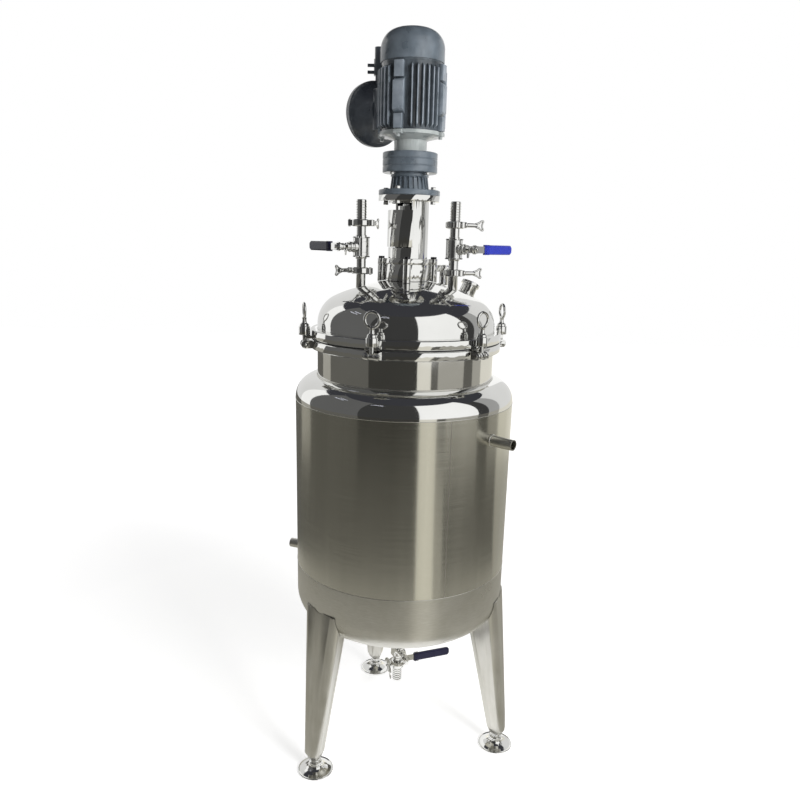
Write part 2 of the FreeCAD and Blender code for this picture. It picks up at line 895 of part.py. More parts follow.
def make_motor_housing():
    """A finned tube with four cast ribs, each a lug at both ends and a plate between."""
    bore = s.rotor_radius + 1
    register = s.cover_radius - s.cover_wall - s.running_gap
    fins_top = motor_top - 8
    path = [
        (bore, motor_bottom),
        (s.motor_radius, motor_bottom),
        (s.motor_radius, motor_top - 4),
        (register, motor_top),
        (register, motor_top + 6),
        (bore, motor_top + 6),
    ]
    pieces = [revolve("MotorHousing", path)]
    root = s.motor_radius - 3
    fin_tip = s.motor_radius + s.fin_depth
    middle = (motor_bottom + fins_top) / 2
    for azimuth in rib_directions():
        for fin in range(int(plain(s.fins_a_side))):
            pieces.append(radial_plate(s.fin_thickness, root, fin_tip, motor_bottom + 3, fins_top,
                                       s.fin_chamfer, azimuth + s.first_fin + fin * s.fin_spacing))
        pieces.append(radial_plate(s.rib_plate_width - 6, root, fin_tip + 1, motor_bottom,
                                   motor_bottom + s.rib_lug_height, 1, azimuth))
        pieces.append(radial_plate(s.rib_plate_width, root, fin_tip + 2, middle - s.rib_plate_height / 2,
                                   middle + s.rib_plate_height / 2, 12, azimuth))
        pieces.append(radial_plate(s.rib_plate_width - 4, root, fin_tip, fins_top - s.rib_lug_height,
                                   fins_top + 3, 1, azimuth))
    node(fuse(*pieces), "motor_housing")


def make_fan_cover():
    radius = s.cover_radius
    bend = s.cover_bend
    wall = s.cover_wall
    seat = motor_top + 0.3
    path = [
        (radius - wall, seat),
        (radius, seat),
        (radius, cover_top - bend),
        Bend(bend, 1),
        (radius - bend, cover_top),
        (0, cover_top),
        (0, cover_top - wall),
        (radius - bend, cover_top - wall),
        Bend(bend - wall, -1),
        (radius - wall, cover_top - bend),
    ]
    body = revolve("FanCover", path)
    slot_start = 10
    slot_half = 2.5
    slot_path = [
        (slot_start, -slot_half),
        (radius - bend, -slot_half),
        Bend(slot_half, 1),
        (radius - bend, slot_half),
        (slot_start, slot_half),
        Bend(slot_half, 1),
    ]
    slot = pocket(body, outline(body, "XY_Plane", slot_path, cover_top + 5), 12, midplane=False)
    repeat_round(body, [slot], s.grille_slots)
    node(body, "fan_cover")


def bowl_body():
    """The hollow-backed bowl and rim of the terminal box, with its axis along X."""
    throat = s.box_neck_height / 2 - 2
    rim_end = s.box_rim_reach + s.box_rim_height
    path = [
        (0, s.box_neck_reach),
        (throat, s.box_neck_reach),
        Bend(s.box_bowl_bend, -1),
        (s.box_rim_radius - 6, s.box_rim_reach),
        (s.box_rim_radius, s.box_rim_reach + 2),
        (s.box_rim_radius, rim_end),
        (0, rim_end),
    ]
    return place(revolve("TerminalBowl", path), z=s.box_level, tilt=90)


def make_terminal_box():
    neck_start = s.motor_radius + 1
    neck = block(s.box_neck_reach - neck_start + 4, s.box_neck_width, s.box_neck_height,
                 x=neck_start, z=s.box_level - s.box_neck_height / 2)
    housing = cylinder(s.motor_radius + s.fin_depth + 4, 2 * s.box_neck_height,
                       z=s.box_level - s.box_neck_height)
    node(cut(fuse(neck, bowl_body()), housing), "terminal_box", turn=s.box_azimuth)


def make_terminal_cover():
    start = s.box_rim_reach + s.box_rim_height
    plate = 8
    disc = cylinder(s.box_rim_radius - 1, plate, x=start, z=s.box_level, tilt=90)
    raised = cone(s.box_rim_radius - 14, s.box_rim_radius - 22, s.box_cover_height - plate,
                  x=start + plate, z=s.box_level, tilt=90)
    node(fuse(disc, raised), "terminal_cover", turn=s.box_azimuth)


def make_cable_gland():
    """An upright gland on top of the bowl, clamped by two screws that point to the left."""
    radius = s.gland_radius
    base = s.box_level + s.box_rim_radius
    sunk = 30
    stem = cylinder(radius - 4, sunk + 12, x=s.gland_reach, z=base - sunk)
    body = cylinder(radius, s.gland_height / 2, x=s.gland_reach, z=base + 10)
    nut = cylinder(radius - 2, s.gland_height / 2 - 10, x=s.gland_reach, z=base + 10 + s.gland_height / 2)
    screws = []
    for rise in (18, 34):
        screws.append(cylinder(4, radius + 16, x=s.gland_reach, z=base + rise,
                               turn=180 - s.box_azimuth, tilt=90))
    node(cut(fuse(stem, body, nut, *screws), bowl_body()), "cable_gland", turn=s.box_azimuth)


def make_rotor():
    shaft = cylinder(s.rotor_shaft, motor_top + 34 - casing_top + 10, z=casing_top - 10)
    core = cylinder(s.rotor_radius, s.motor_length - 24, z=motor_bottom + 12)
    node(fuse(shaft, core), "motor_rotor")


def make_cooling_fan():
    level = motor_top + 14
    hub = cylinder(20, 18, z=level)
    disc = cylinder(s.fan_radius, 2, z=level)
    blades = []
    for number in range(int(plain(s.fan_blades))):
        azimuth = number * 360 / s.fan_blades
        blade = bind(doc.addObject("Part::Box", "Box"), Length=s.fan_radius - 16, Width=2, Height=18)
        blades.append(place(blade, x=16 * cosine(azimuth), y=16 * sine(azimuth), z=level, turn=azimuth))
    bore = cylinder(s.rotor_shaft, 40, z=level - 5)
    node(cut(fuse(hub, disc, *blades), bore), "cooling_fan")


# Agitator

def make_agitator():
    bottom = vessel_bottom + s.vessel_wall + s.anchor_gap + 8
    top = lantern_top - 42
    node(cylinder(s.shaft_radius, top - bottom, z=bottom), "agitator_shaft")
    half = s.coupling_height / 2
    sleeve = cylinder(s.coupling_radius, s.coupling_height, z=top - half)
    bore = cylinder(s.shaft_radius, half, z=top - half)
    output = cylinder(s.shaft_radius, casing_bottom - 8 - top - half, z=top + half)
    node(cut(fuse(sleeve, output), bore), "shaft_coupling")


def make_anchor():
    """A U of flat bar that follows the dish, on a hub and one crossbar."""
    outer = s.vessel_radius - s.vessel_wall - s.anchor_side_gap
    inner = outer - s.anchor_blade
    line = s.vessel_dish_line
    top = line + s.anchor_height
    lowest = vessel_bottom + s.vessel_wall + s.anchor_gap
    bend = outer / 2.4
    inner_bend = bend - s.anchor_blade
    floor_in = lowest + s.anchor_blade
    path = [
        (outer, top),
        (inner, top),
        (inner, floor_in + inner_bend),
        Bend(inner_bend, -1),
        (inner - inner_bend, floor_in),
        (-(inner - inner_bend), floor_in),
        Bend(inner_bend, -1),
        (-inner, floor_in + inner_bend),
        (-inner, top),
        (-outer, top),
        (-outer, lowest + bend),
        Bend(bend, 1),
        (-(outer - bend), lowest),
        (outer - bend, lowest),
        Bend(bend, 1),
        (outer, lowest + bend),
    ]
    body = new_body("Anchor")
    pad(body, outline(body, "XZ_Plane", path), s.anchor_thickness)
    crossbar = block(2 * inner, s.anchor_thickness, s.anchor_blade, x=-inner, z=top - 2 * s.anchor_blade)
    hub_top = cylinder(s.shaft_radius + 9, 2 * s.anchor_blade, z=top - 2.5 * s.anchor_blade)
    hub_low = cylinder(s.shaft_radius + 9, 2 * s.anchor_blade, z=lowest)
    bore = cylinder(s.shaft_radius, top - lowest + 20, z=lowest + 8)
    node(cut(fuse(body, crossbar, hub_top, hub_low), bore), "anchor_impeller")


# Lid fittings and ball valves

def pipe_run(length, bottom, x=0, y=0):
    return cylinder(s.pipe_radius, length, x=x, y=y, z=bottom)


def make_nozzle(name, x, y):
    start = lid_crown_level - s.head_crown / 8
    pipe = pipe_run(s.lower_joint - start, start, x, y)
    ferrule = cylinder(s.ferrule_radius, s.ferrule_height, x=x, y=y, z=s.lower_joint - s.ferrule_height)
    bore = cylinder(s.pipe_bore, s.lower_joint - start + 2, x=x, y=y, z=start - 1)
    node(cut(fuse(pipe, ferrule), bore, crown_ball()), name)


def clamp_ring(level, lip):
    """One clamp about the Z axis: a grooved ring, a hinge and a long wing bolt beside it."""
    half = s.clamp_height / 2
    radius = s.clamp_radius
    wing_start = s.wing_reach - 18
    ring = cylinder(radius, s.clamp_height, z=level - half)
    hinge = block(14, 16, s.clamp_height - 3, x=-radius - 8, z=level - half + 1.5)
    lug = block(14, 24, s.clamp_height - 3, x=radius - 4, z=level - half + 1.5)
    bolt = cylinder(4, s.wing_reach + 10, x=s.clamp_lug, y=-16, z=level, turn=90, tilt=90)
    nut = cylinder(6, wing_start - 10, x=s.clamp_lug, y=12, z=level, turn=90, tilt=90)
    wing = block(5, 18, 22, x=s.clamp_lug - 2.5, y=wing_start + 9, z=level - 11)
    groove = cylinder(s.ferrule_radius + s.running_gap, 2 * s.ferrule_height + 2 * s.running_gap,
                      z=level - s.ferrule_height - s.running_gap)
    bore = cylinder(lip + s.running_gap, s.clamp_height + 2, z=level - half - 1)
    return cut(fuse(ring, hinge, lug, bolt, nut, wing), groove, bore)


def make_valve_body(name, level, low_joint, high_joint, x, y, azimuth, ends=("ferrule", "ferrule")):
    half = s.valve_height / 2
    barrel = cylinder(s.valve_radius, s.valve_height, z=level - half)
    collars = cylinder(s.pipe_radius + 2, s.valve_height + 2 * s.valve_collar,
                       z=level - half - s.valve_collar)
    bonnet = cylinder(11, s.bonnet_reach, z=level, tilt=90)
    low = cylinder(s.pipe_radius, level - low_joint, z=low_joint)
    high = cylinder(s.pipe_radius, high_joint - level, z=level)
    pieces = [barrel, collars, bonnet, low, high]
    for quarter in range(4):
        corner = 45 + 90 * quarter
        pieces.append(cylinder(3, s.valve_height - 2, x=s.valve_radius * cosine(corner),
                               y=s.valve_radius * sine(corner), z=level - half + 1))
    if ends[0] == "ferrule":
        pieces.append(cylinder(s.ferrule_radius, s.ferrule_height, z=low_joint))
    if ends[1] == "ferrule":
        pieces.append(cylinder(s.ferrule_radius, s.ferrule_height, z=high_joint - s.ferrule_height))
    bore = cylinder(s.pipe_bore, high_joint - low_joint + 2, z=low_joint - 1)
    chamber = ball(s.ball_radius + s.running_gap, z=level)
    stem_hole = cylinder(s.stem_radius + s.running_gap, s.bonnet_reach + 2, z=level, tilt=90)
    node(cut(fuse(*pieces), bore, chamber, stem_hole), name, x=x, y=y, turn=azimuth)


def make_lever(name, level, x, y, azimuth, side, length):
    """Ball, stem, lever and grip of one valve, closed, with the lever level with the floor."""
    plate_start = s.stem_reach - s.lever_thickness
    stem = cylinder(s.stem_radius, plate_start, z=level, tilt=90)
    neck = cylinder(s.stem_radius - 1, s.lever_thickness + 6, x=plate_start, z=level, tilt=90)
    flow_bore = cylinder(s.pipe_bore, 3 * s.ball_radius, y=-1.5 * s.ball_radius, z=level,
                         turn=90, tilt=90)
    plug = cut(ball(s.ball_radius, z=level), flow_bore)
    plate_length = length - 4
    plate_width = s.lever_width
    centre_y = side * plate_length / 2
    plate = bind(doc.addObject("Part::Box", "Box"), Length=s.lever_thickness, Width=plate_length,
                 Height=plate_width)
    place(plate, x=plate_start, y=centre_y - plate_length / 2, z=level - plate_width / 2)
    eye = cylinder(plate_width / 2 + 2, s.lever_thickness, x=plate_start, z=level, tilt=90)
    nut = cylinder(9, 6, x=s.stem_reach, z=level, tilt=90)
    node(fuse(stem, neck, plug, plate, eye, nut), name + "_lever", x=x, y=y, turn=azimuth)
    grip_start = length - s.grip_length
    middle = side * (grip_start + s.grip_length / 2)
    sleeve = bind(doc.addObject("Part::Box", "Box"), Length=s.grip_thickness, Width=s.grip_length,
                  Height=s.grip_width)
    place(sleeve, x=s.stem_reach - (s.lever_thickness + s.grip_thickness) / 2,
          y=middle - s.grip_length / 2, z=level - s.grip_width / 2)
    slot = bind(doc.addObject("Part::Box", "Box"), Length=s.lever_thickness, Width=plate_length,
                Height=plate_width)
    place(slot, x=plate_start, y=centre_y - plate_length / 2, z=level - plate_width / 2)
    node(cut(sleeve, slot), name + "_grip", x=x, y=y, turn=azimuth)


def make_hose_tail(name, joint, up, x, y):
    """A clamp ferrule that runs into a ridged end for a hose."""
    length = s.hose_tail_length
    ridge = length / 5
    path = [(s.pipe_bore, joint), (s.ferrule_radius, joint)]
    path += [(s.ferrule_radius, joint + up * s.ferrule_height), (s.pipe_radius, joint + up * s.ferrule_height)]
    for number in (2, 3, 4):
        level = joint + up * ridge * number
        path += [(s.pipe_radius, level), (s.hose_tail_radius, level + up * 1)]
        path.append((s.pipe_radius, level + up * (ridge - 1)))
    path += [(s.pipe_radius, joint + up * length), (s.pipe_bore, joint + up * length)]
    node(revolve(name, path), name, x=x, y=y)


def make_stack(name, side, azimuth, lower_clamp_turn, upper_clamp_turn):
    x, y = stack_spots()[name]
    make_nozzle(f"{name}_nozzle", x, y)
    lower = clamp_ring(s.lower_joint, s.pipe_radius)
    upper = clamp_ring(s.upper_joint, s.pipe_radius)
    place(lower, x=x, y=y, turn=lower_clamp_turn)
    place(upper, x=x, y=y, turn=upper_clamp_turn)
    node(group(lower, upper), f"{name}_clamps")
    make_valve_body(f"{name}_valve_body", s.valve_level, s.lower_joint, s.upper_joint, x, y, azimuth)
    make_lever(name, s.valve_level, x, y, azimuth, side, s.lever_length)
    make_hose_tail(f"{name}_hose_tail", s.upper_joint, 1, x, y)


def make_drain():
    top = vessel_bottom + s.vessel_wall
    bottom = s.drain_valve_level + s.valve_height / 2 + s.valve_collar
    pipe = cylinder(s.pipe_radius, top - bottom, z=bottom)
    collar = cylinder(s.valve_radius, 6, z=bottom)
    bore = cylinder(s.pipe_bore, top - bottom + 2, z=bottom - 1)
    inside = ball(s.head_crown, z=s.vessel_dish_line + head_rise)
    node(cut(fuse(pipe, collar), bore, inside), "drain_outlet")
    make_valve_body("drain_valve_body", s.drain_valve_level, s.drain_joint, bottom, 0, 0,
                    s.drain_stem_azimuth, ends=("ferrule", "plain"))
    make_lever("drain", s.drain_valve_level, 0, 0, s.drain_stem_azimuth, 1, s.drain_lever_length)
    clamp = clamp_ring(s.drain_joint, s.pipe_radius)
    node(clamp, "drain_clamp", turn=-170)
    make_hose_tail("drain_hose_tail", s.drain_joint, -1, 0, 0)


def make_rear_nozzle():
    x, y = rear_spot()
    start = lid_crown_level - s.head_crown / 8
    pipe = cylinder(s.pipe_radius, s.rear_joint - start, x=x, y=y, z=start)
    ferrule = cylinder(s.ferrule_radius, s.ferrule_height, x=x, y=y, z=s.rear_joint - s.ferrule_height)
    bore = cylinder(s.pipe_bore, s.rear_joint - start + 2, x=x, y=y, z=start - 1)
    pipe_solid = cut(fuse(pipe, ferrule), bore, crown_ball())
    cap = cylinder(s.ferrule_radius, s.ferrule_height, x=x, y=y, z=s.rear_joint)
    clamp = clamp_ring(s.rear_joint, s.pipe_radius)
    place(clamp, x=x, y=y, turn=60)
    node(group(pipe_solid, cap, clamp), "rear_nozzle")


def make_sight_port():
    tube = cylinder(s.sight_radius, s.sight_length + 12, **sight_spot(s.head_crown - 12))
    rim = cylinder(s.sight_radius + 4, 9, **sight_spot(s.head_crown + s.sight_length - 9))
    bore = cylinder(s.sight_bore, s.sight_length + 30, **sight_spot(s.head_crown - 15))
    seat = cylinder(s.sight_radius - 2, 6, **sight_spot(s.head_crown + s.sight_length - 6))
    node(cut(fuse(tube, rim), bore, seat, crown_ball()), "sight_port")
    glass = cylinder(s.sight_radius - 2, 5, **sight_spot(s.head_crown + s.sight_length - 6))
    node(glass, "sight_glass")


# Legs and feet

def jacket_envelope():
    """The jacket's outer form as one solid, which the legs are cut to."""
    outer, _ = head_path(jacket_radius, s.jacket_crown, s.jacket_knuckle,
                         s.jacket_dish_line, jacket_rise, s.jacket_wall, -1)
    top = s.jacket_dish_line + s.jacket_knuckle
    return revolve("JacketForm", [(0, top), (jacket_radius, top)] + outer)


def leg_section(body, level, outer, half_width, corner, depth, nose):
    """A closed section with a flat outer face, round corners and a narrower round nose."""
    path = [
        (outer, -(half_width - corner)),
        (outer, half_width - corner),
        Bend(corner, 1),
        (outer - corner, half_width),
        (outer - depth + nose, nose),
        Bend(nose, 1),
        (outer - depth + nose, -nose),
        (outer - corner, -half_width),
        Bend(corner, 1),
    ]
    return outline(body, "XY_Plane", path, level)


def make_leg(name, azimuth):
    body = new_body("Leg")
    end = s.leg_end_radius
    outer_end = leg_circle + end
    top_level = s.jacket_dish_line + 4
    top_corner = 22
    top_nose = 14
    top = leg_section(body, top_level, jacket_radius - 0.5, s.leg_shoulder, top_corner,
                      s.leg_top_depth, top_nose)
    low = leg_section(body, s.leg_bottom + s.leg_end_taper, outer_end, end, 0.7 * end, 2 * end, 0.6 * end)
    small = 0.72 * end
    tip = leg_section(body, s.leg_bottom, leg_circle + small, small, 0.7 * small, 2 * small, 0.6 * small)
    loft = body.newObject("PartDesign::AdditiveLoft", "Loft")
    loft.Profile = top
    loft.Sections = [low, tip]
    loft.Ruled = True
    socket = cylinder(s.foot_stem_radius + s.running_gap, s.foot_stem_length, x=leg_circle,
                      z=s.leg_bottom - 2)
    node(cut(body, jacket_envelope(), socket), name, turn=azimuth)


def make_foot(name, azimuth):
    cone_top = s.foot_rim + s.foot_cone
    path = [
        (0, 0),
        (s.foot_radius, 0),
        (s.foot_radius, s.foot_rim),
        (s.foot_hub_radius, cone_top),
        (s.foot_hub_radius, s.foot_hub_height),
        (s.foot_stem_radius, s.foot_hub_height + 3),
        (s.foot_stem_radius, s.foot_hub_height + s.foot_stem_length),
        (0, s.foot_hub_height + s.foot_stem_length),
    ]
    node(revolve(name, path), name, x=leg_circle * cosine(azimuth), y=leg_circle * sine(azimuth))


# Assembly

make_vessel()
make_jacket()
make_jacket_port("jacket_outlet", s.outlet_level, s.outlet_azimuth)
make_jacket_port("jacket_inlet", s.inlet_level, s.inlet_azimuth)
make_vessel_flange()
make_gasket()
make_lid_flange()
make_bolt_pins()
for number in range(int(plain(s.bolt_count))):
    make_swing_bolt(number)
make_lid()
make_hub()
make_shaft_seal()
make_lantern()
make_window_guard()
make_hub_bolts()
make_drive_foot()
make_gear_casing()
make_end_shield()
make_motor_housing()
make_fan_cover()
make_terminal_box()
make_terminal_cover()
make_cable_gland()
make_rotor()
make_cooling_fan()
make_agitator()
make_anchor()
make_stack("left", -1, s.left_stem_azimuth, 145, -10)
make_stack("right", 1, s.right_stem_azimuth, -65, -65)
make_drain()
make_rear_nozzle()
make_sight_port()
for number, side in enumerate(("right", "back", "left")):
    azimuth = s.leg_azimuth + 120 * number
    make_leg(f"leg_{side}", azimuth)
    make_foot(f"foot_{side}", azimuth)

doc.recompute()

failed = [item.Label for item in doc.Objects if "Invalid" in item.State or "Error" in item.State]
if failed:
    raise ValueError(f"these failed: {failed}")

for item in nodes:
    if item.Shape.isNull() or not item.Shape.isValid() or item.Shape.Volume <= 0:
        raise ValueError(f"{item.Label} has no valid shape")

os.makedirs("parts", exist_ok=True)
for item in nodes:
    item.Shape.exportStep(f"parts/{item.Label}.step")
    solids = len(item.Shape.Solids)
    print(f"{item.Label}: {solids} solids, {item.Shape.Volume / 1000:.0f} cm3")
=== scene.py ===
import json
import math

import bmesh
import bpy
from mathutils import Matrix, Vector


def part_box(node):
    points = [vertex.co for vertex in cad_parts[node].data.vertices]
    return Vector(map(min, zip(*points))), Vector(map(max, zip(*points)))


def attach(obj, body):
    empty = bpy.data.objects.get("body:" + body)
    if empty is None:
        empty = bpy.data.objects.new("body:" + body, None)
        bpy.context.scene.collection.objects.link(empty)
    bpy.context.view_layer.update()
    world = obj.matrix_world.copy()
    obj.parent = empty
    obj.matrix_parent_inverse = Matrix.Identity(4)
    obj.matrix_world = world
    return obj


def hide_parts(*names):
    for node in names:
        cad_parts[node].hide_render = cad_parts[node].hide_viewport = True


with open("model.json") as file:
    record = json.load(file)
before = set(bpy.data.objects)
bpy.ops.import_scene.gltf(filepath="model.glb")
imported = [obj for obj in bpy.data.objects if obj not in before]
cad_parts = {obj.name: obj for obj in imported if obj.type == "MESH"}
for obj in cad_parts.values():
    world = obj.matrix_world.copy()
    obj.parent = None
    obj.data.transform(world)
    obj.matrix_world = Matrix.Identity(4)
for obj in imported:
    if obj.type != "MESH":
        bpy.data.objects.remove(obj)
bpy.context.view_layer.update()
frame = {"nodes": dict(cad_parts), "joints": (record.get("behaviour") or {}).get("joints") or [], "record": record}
bpy.context.scene.view_settings.view_transform = "Standard"

MM = 0.001
nodes = frame["nodes"]
joints = {joint["name"]: joint for joint in frame["joints"]}
mounts = {mount["name"]: mount for mount in frame["record"]["mounts"]}


# Places read from the frame, in millimetres

def ends(name):
    low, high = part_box(name)
    return low / MM, high / MM


def floor_of(name):
    return ends(name)[0].z


def top_of(name):
    return ends(name)[1].z


def middle(name):
    low, high = ends(name)
    return (low + high) / 2


def anchor(joint):
    return Vector(joints[joint]["pos_m"]) / MM


def azimuth_of(vector):
    return math.degrees(math.atan2(vector[1], vector[0]))


def rotation(turn, tilt):
    return Matrix.Rotation(math.radians(turn), 4, "Z") @ Matrix.Rotation(math.radians(tilt), 4, "Y")


def spot(x=0.0, y=0.0, z=0.0, turn=0.0, tilt=0.0):
    """Local millimetres to the frame's metres: tilts about Y, turns about Z, moves to x, y, z."""
    return Matrix.Scale(MM, 4) @ Matrix.Translation((x, y, z)) @ rotation(turn, tilt)


def local(x=0.0, y=0.0, z=0.0, turn=0.0, tilt=0.0):
    """A place inside another place, in its own millimetres."""
    return Matrix.Translation((x, y, z)) @ rotation(turn, tilt)


def polar(radius, azimuth):
    return radius * math.cos(math.radians(azimuth)), radius * math.sin(math.radians(azimuth))


# Materials

class Look:
    """A node material built round one Principled shader."""

    def __init__(self, name, colour, roughness, metallic=0.0):
        self.material = bpy.data.materials.new(name)
        self.material.use_nodes = True
        self.tree = self.material.node_tree
        self.shader = self.tree.nodes["Principled BSDF"]
        self.shader.inputs["Base Color"].default_value = (*colour, 1)
        self.shader.inputs["Roughness"].default_value = roughness
        self.shader.inputs["Metallic"].default_value = metallic
        self.place = self.add("ShaderNodeTexCoord").outputs["Object"]

    def add(self, kind, settings=None, **inputs):
        item = self.tree.nodes.new(kind)
        for name, value in (settings or {}).items():
            setattr(item, name, value)
        for name, value in inputs.items():
            self.feed(item.inputs[name.replace("_", " ")], value)
        return item

    def feed(self, socket, value):
        if isinstance(value, bpy.types.NodeSocket):
            self.tree.links.new(value, socket)
        else:
            socket.default_value = value

    def maths(self, operation, first, second=0.0):
        item = self.tree.nodes.new("ShaderNodeMath")
        item.operation = operation
        self.feed(item.inputs[0], first)
        self.feed(item.inputs[1], second)
        return item.outputs[0]

    def stretched(self, scale):
        return self.add("ShaderNodeMapping", Vector=self.place, Scale=scale).outputs[0]

    def noise(self, vector, scale, detail=3.0):
        return self.add("ShaderNodeTexNoise", Vector=vector, Scale=scale, Detail=detail).outputs["Fac"]

    def spread(self, value, start, end, from_low=0.3, from_high=0.7):
        """Spreads a value between two numbers."""
        item = self.add("ShaderNodeMapRange")
        numbers = {"Value": value, "From Min": from_low, "From Max": from_high,
                   "To Min": start, "To Max": end}
        for name, number in numbers.items():
            self.feed(item.inputs[name], number)
        return item.outputs[0]

    def tint(self, value, *stops):
        """Colours along a value, each stop with its place."""
        ramp = self.add("ShaderNodeValToRGB", Fac=value)
        elements = ramp.color_ramp.elements
        while len(elements) < len(stops):
            elements.new(0.5)
        for element, (position, colour) in zip(elements, stops):
            element.position = position
            element.color = (*colour, 1)
        return ramp.outputs["Color"]

    def bump(self, height, strength, distance):
        item = self.add("ShaderNodeBump", Height=height, Strength=strength, Distance=distance)
        self.feed(self.shader.inputs["Normal"], item.outputs["Normal"])

    def unrolled(self, round_scale, height_scale):
        """A vector of the angle about the axis and the height, for grain that runs round the shell."""
        parts = self.add("ShaderNodeSeparateXYZ", Vector=self.place).outputs
        angle = self.maths("ARCTAN2", parts["Y"], parts["X"])
        across = self.maths("MULTIPLY", angle, round_scale)
        upward = self.maths("MULTIPLY", parts["Z"], height_scale)
        return self.add("ShaderNodeCombineXYZ", X=across, Y=upward).outputs[0]

    def off_axis(self):
        """The distance from the vertical axis."""
        parts = self.add("ShaderNodeSeparateXYZ", Vector=self.place).outputs
        flat = self.add("ShaderNodeCombineXYZ", X=parts["X"], Y=parts["Y"]).outputs[0]
        return self.add("ShaderNodeVectorMath", {"operation": "LENGTH"}, Vector=flat).outputs["Value"]

    def blended(self, *shares):
        """The sum of values, each times its share."""
        total = 0.0
        for value, share in shares:
            total = self.maths("ADD", total, self.maths("MULTIPLY", value, share))
        return total

    def two_tones(self, value, dark, light):
        self.feed(self.shader.inputs["Base Color"], self.tint(value, (0.0, dark), (1.0, light)))

    def rough(self, value, low, high, *limits):
        self.feed(self.shader.inputs["Roughness"], self.spread(value, low, high, *limits))


def make_mirror_steel():
    look = Look("mirror_steel", (0.8, 0.79, 0.76), 0.06, 1.0)
    patches = look.noise(look.place, 9.0)
    look.two_tones(patches, (0.70, 0.70, 0.685), (0.84, 0.84, 0.825))
    look.rough(patches, 0.035, 0.085)
    look.bump(look.noise(look.place, 14.0, 1.0), 0.05, 0.004)
    return look.material


def make_brushed_steel():
    look = Look("brushed_steel", (0.6, 0.59, 0.54), 0.26, 1.0)
    grain = look.noise(look.unrolled(2.2, 900.0), 1.0, 6.0)
    bands = look.noise(look.unrolled(6.0, 0.6), 1.0, 4.0)
    speckle = look.noise(look.place, 420.0, 2.0)
    mixed = look.blended((grain, 0.3), (bands, 0.5), (speckle, 0.2))
    look.two_tones(look.spread(mixed, 0.0, 1.0), (0.54, 0.53, 0.47), (0.70, 0.69, 0.62))
    look.rough(grain, 0.15, 0.23)
    look.shader.inputs["Anisotropic"].default_value = 0.8
    look.shader.inputs["Anisotropic Rotation"].default_value = 0.25
    tangent = look.add("ShaderNodeTangent", {"direction_type": "RADIAL", "axis": "Z"})
    look.feed(look.shader.inputs["Tangent"], tangent.outputs[0])
    look.bump(grain, 0.04, 0.0004)
    return look.material


def make_satin_steel(name, grain_scale, rough):
    look = Look(name, (0.62, 0.61, 0.57), rough, 1.0)
    grain = look.noise(look.stretched(grain_scale), 1.0, 5.0)
    patches = look.noise(look.place, 11.0, 4.0)
    mixed = look.blended((grain, 0.35), (patches, 0.65))
    look.two_tones(look.spread(mixed, 0.0, 1.0), (0.52, 0.51, 0.46), (0.72, 0.71, 0.67))
    look.rough(patches, rough - 0.07, rough + 0.09)
    look.bump(mixed, 0.12, 0.0006)
    return look.material


# Depth of the painted shade in the fin gaps, below the dark colour, in the units of the patch noise.
GAP_SHADE = 2.5


def make_paint(name, dark, light, hollow=None):
    """Glossy enamel; with hollow, two radii from the axis, the colour darkens towards the axis between them:
    painted shade down into the gaps between fins.
    """
    look = Look(name, light, 0.32)
    patches = look.spread(look.noise(look.place, 30.0, 4.0), 0.0, 1.0)
    if hollow:
        # Painted shade: inside the fin tips the value drops towards the axis, darkening the colour to near-black
        # down into the gaps between fins.
        patches = look.maths("ADD", patches, look.spread(look.off_axis(), -GAP_SHADE, 0.0, *hollow))
        painted_gap_shade = tuple(part * 0.2 for part in dark)
        low = GAP_SHADE / (GAP_SHADE + 1)
        value = look.spread(patches, 0.0, 1.0, -GAP_SHADE, 1.0)
        look.feed(look.shader.inputs["Base Color"], look.tint(value, (0.0, painted_gap_shade), (low, dark), (1.0, light)))
    else:
        look.two_tones(patches, dark, light)
    look.rough(patches, 0.24, 0.40, 0.0, 1.0)
    look.shader.inputs["Coat Weight"].default_value = 0.45
    look.shader.inputs["Coat Roughness"].default_value = 0.14
    look.bump(look.noise(look.place, 700.0, 2.0), 0.15, 0.0003)
    return look.material


def make_vinyl(name, colour):
    look = Look(name, colour, 0.38)
    grain = look.noise(look.place, 900.0, 3.0)
    darker = tuple(part * 0.75 for part in colour)
    look.two_tones(look.spread(grain, 0.0, 1.0), darker, colour)
    look.rough(grain, 0.30, 0.45)
    look.bump(grain, 0.2, 0.0002)
    return look.material


def make_rubber():
    look = Look("gasket_rubber", (0.02, 0.02, 0.022), 0.6)
    grain = look.noise(look.place, 500.0)
    look.two_tones(grain, (0.012, 0.012, 0.013), (0.035, 0.035, 0.036))
    look.bump(grain, 0.2, 0.0002)
    return look.material


def make_dark_steel():
    look = Look("dark_bolt_steel", (0.06, 0.06, 0.065), 0.25, 1.0)
    grain = look.noise(look.place, 260.0)
    look.two_tones(grain, (0.03, 0.03, 0.035), (0.12, 0.12, 0.13))
    look.rough(grain, 0.18, 0.36)
    return look.material


def make_glass():
    look = Look("sight_glass", (0.9, 0.95, 0.93), 0.03)
    look.shader.inputs["Transmission Weight"].default_value = 1.0
    look.shader.inputs["IOR"].default_value = 1.47
    smears = look.noise(look.place, 60.0)
    look.rough(smears, 0.01, 0.05)
    return look.material


# Radii of the painted shade in the gaps between the motor fins, measured in from the fin tips.
FIN_TIP = ends("motor_housing")[1].x
GAP_DEPTH, EDGE_DEPTH = 12.0, 2.0
FIN_GAP = ((FIN_TIP - GAP_DEPTH) * MM, (FIN_TIP - EDGE_DEPTH) * MM)
MIRROR = make_mirror_steel()
BRUSHED = make_brushed_steel()
SATIN = make_satin_steel("satin_steel", (60.0, 60.0, 500.0), 0.33)
LEG_STEEL = make_satin_steel("leg_steel", (90.0, 90.0, 12.0), 0.36)
PAINT = make_paint("motor_enamel", (0.085, 0.105, 0.125), (0.15, 0.18, 0.21))
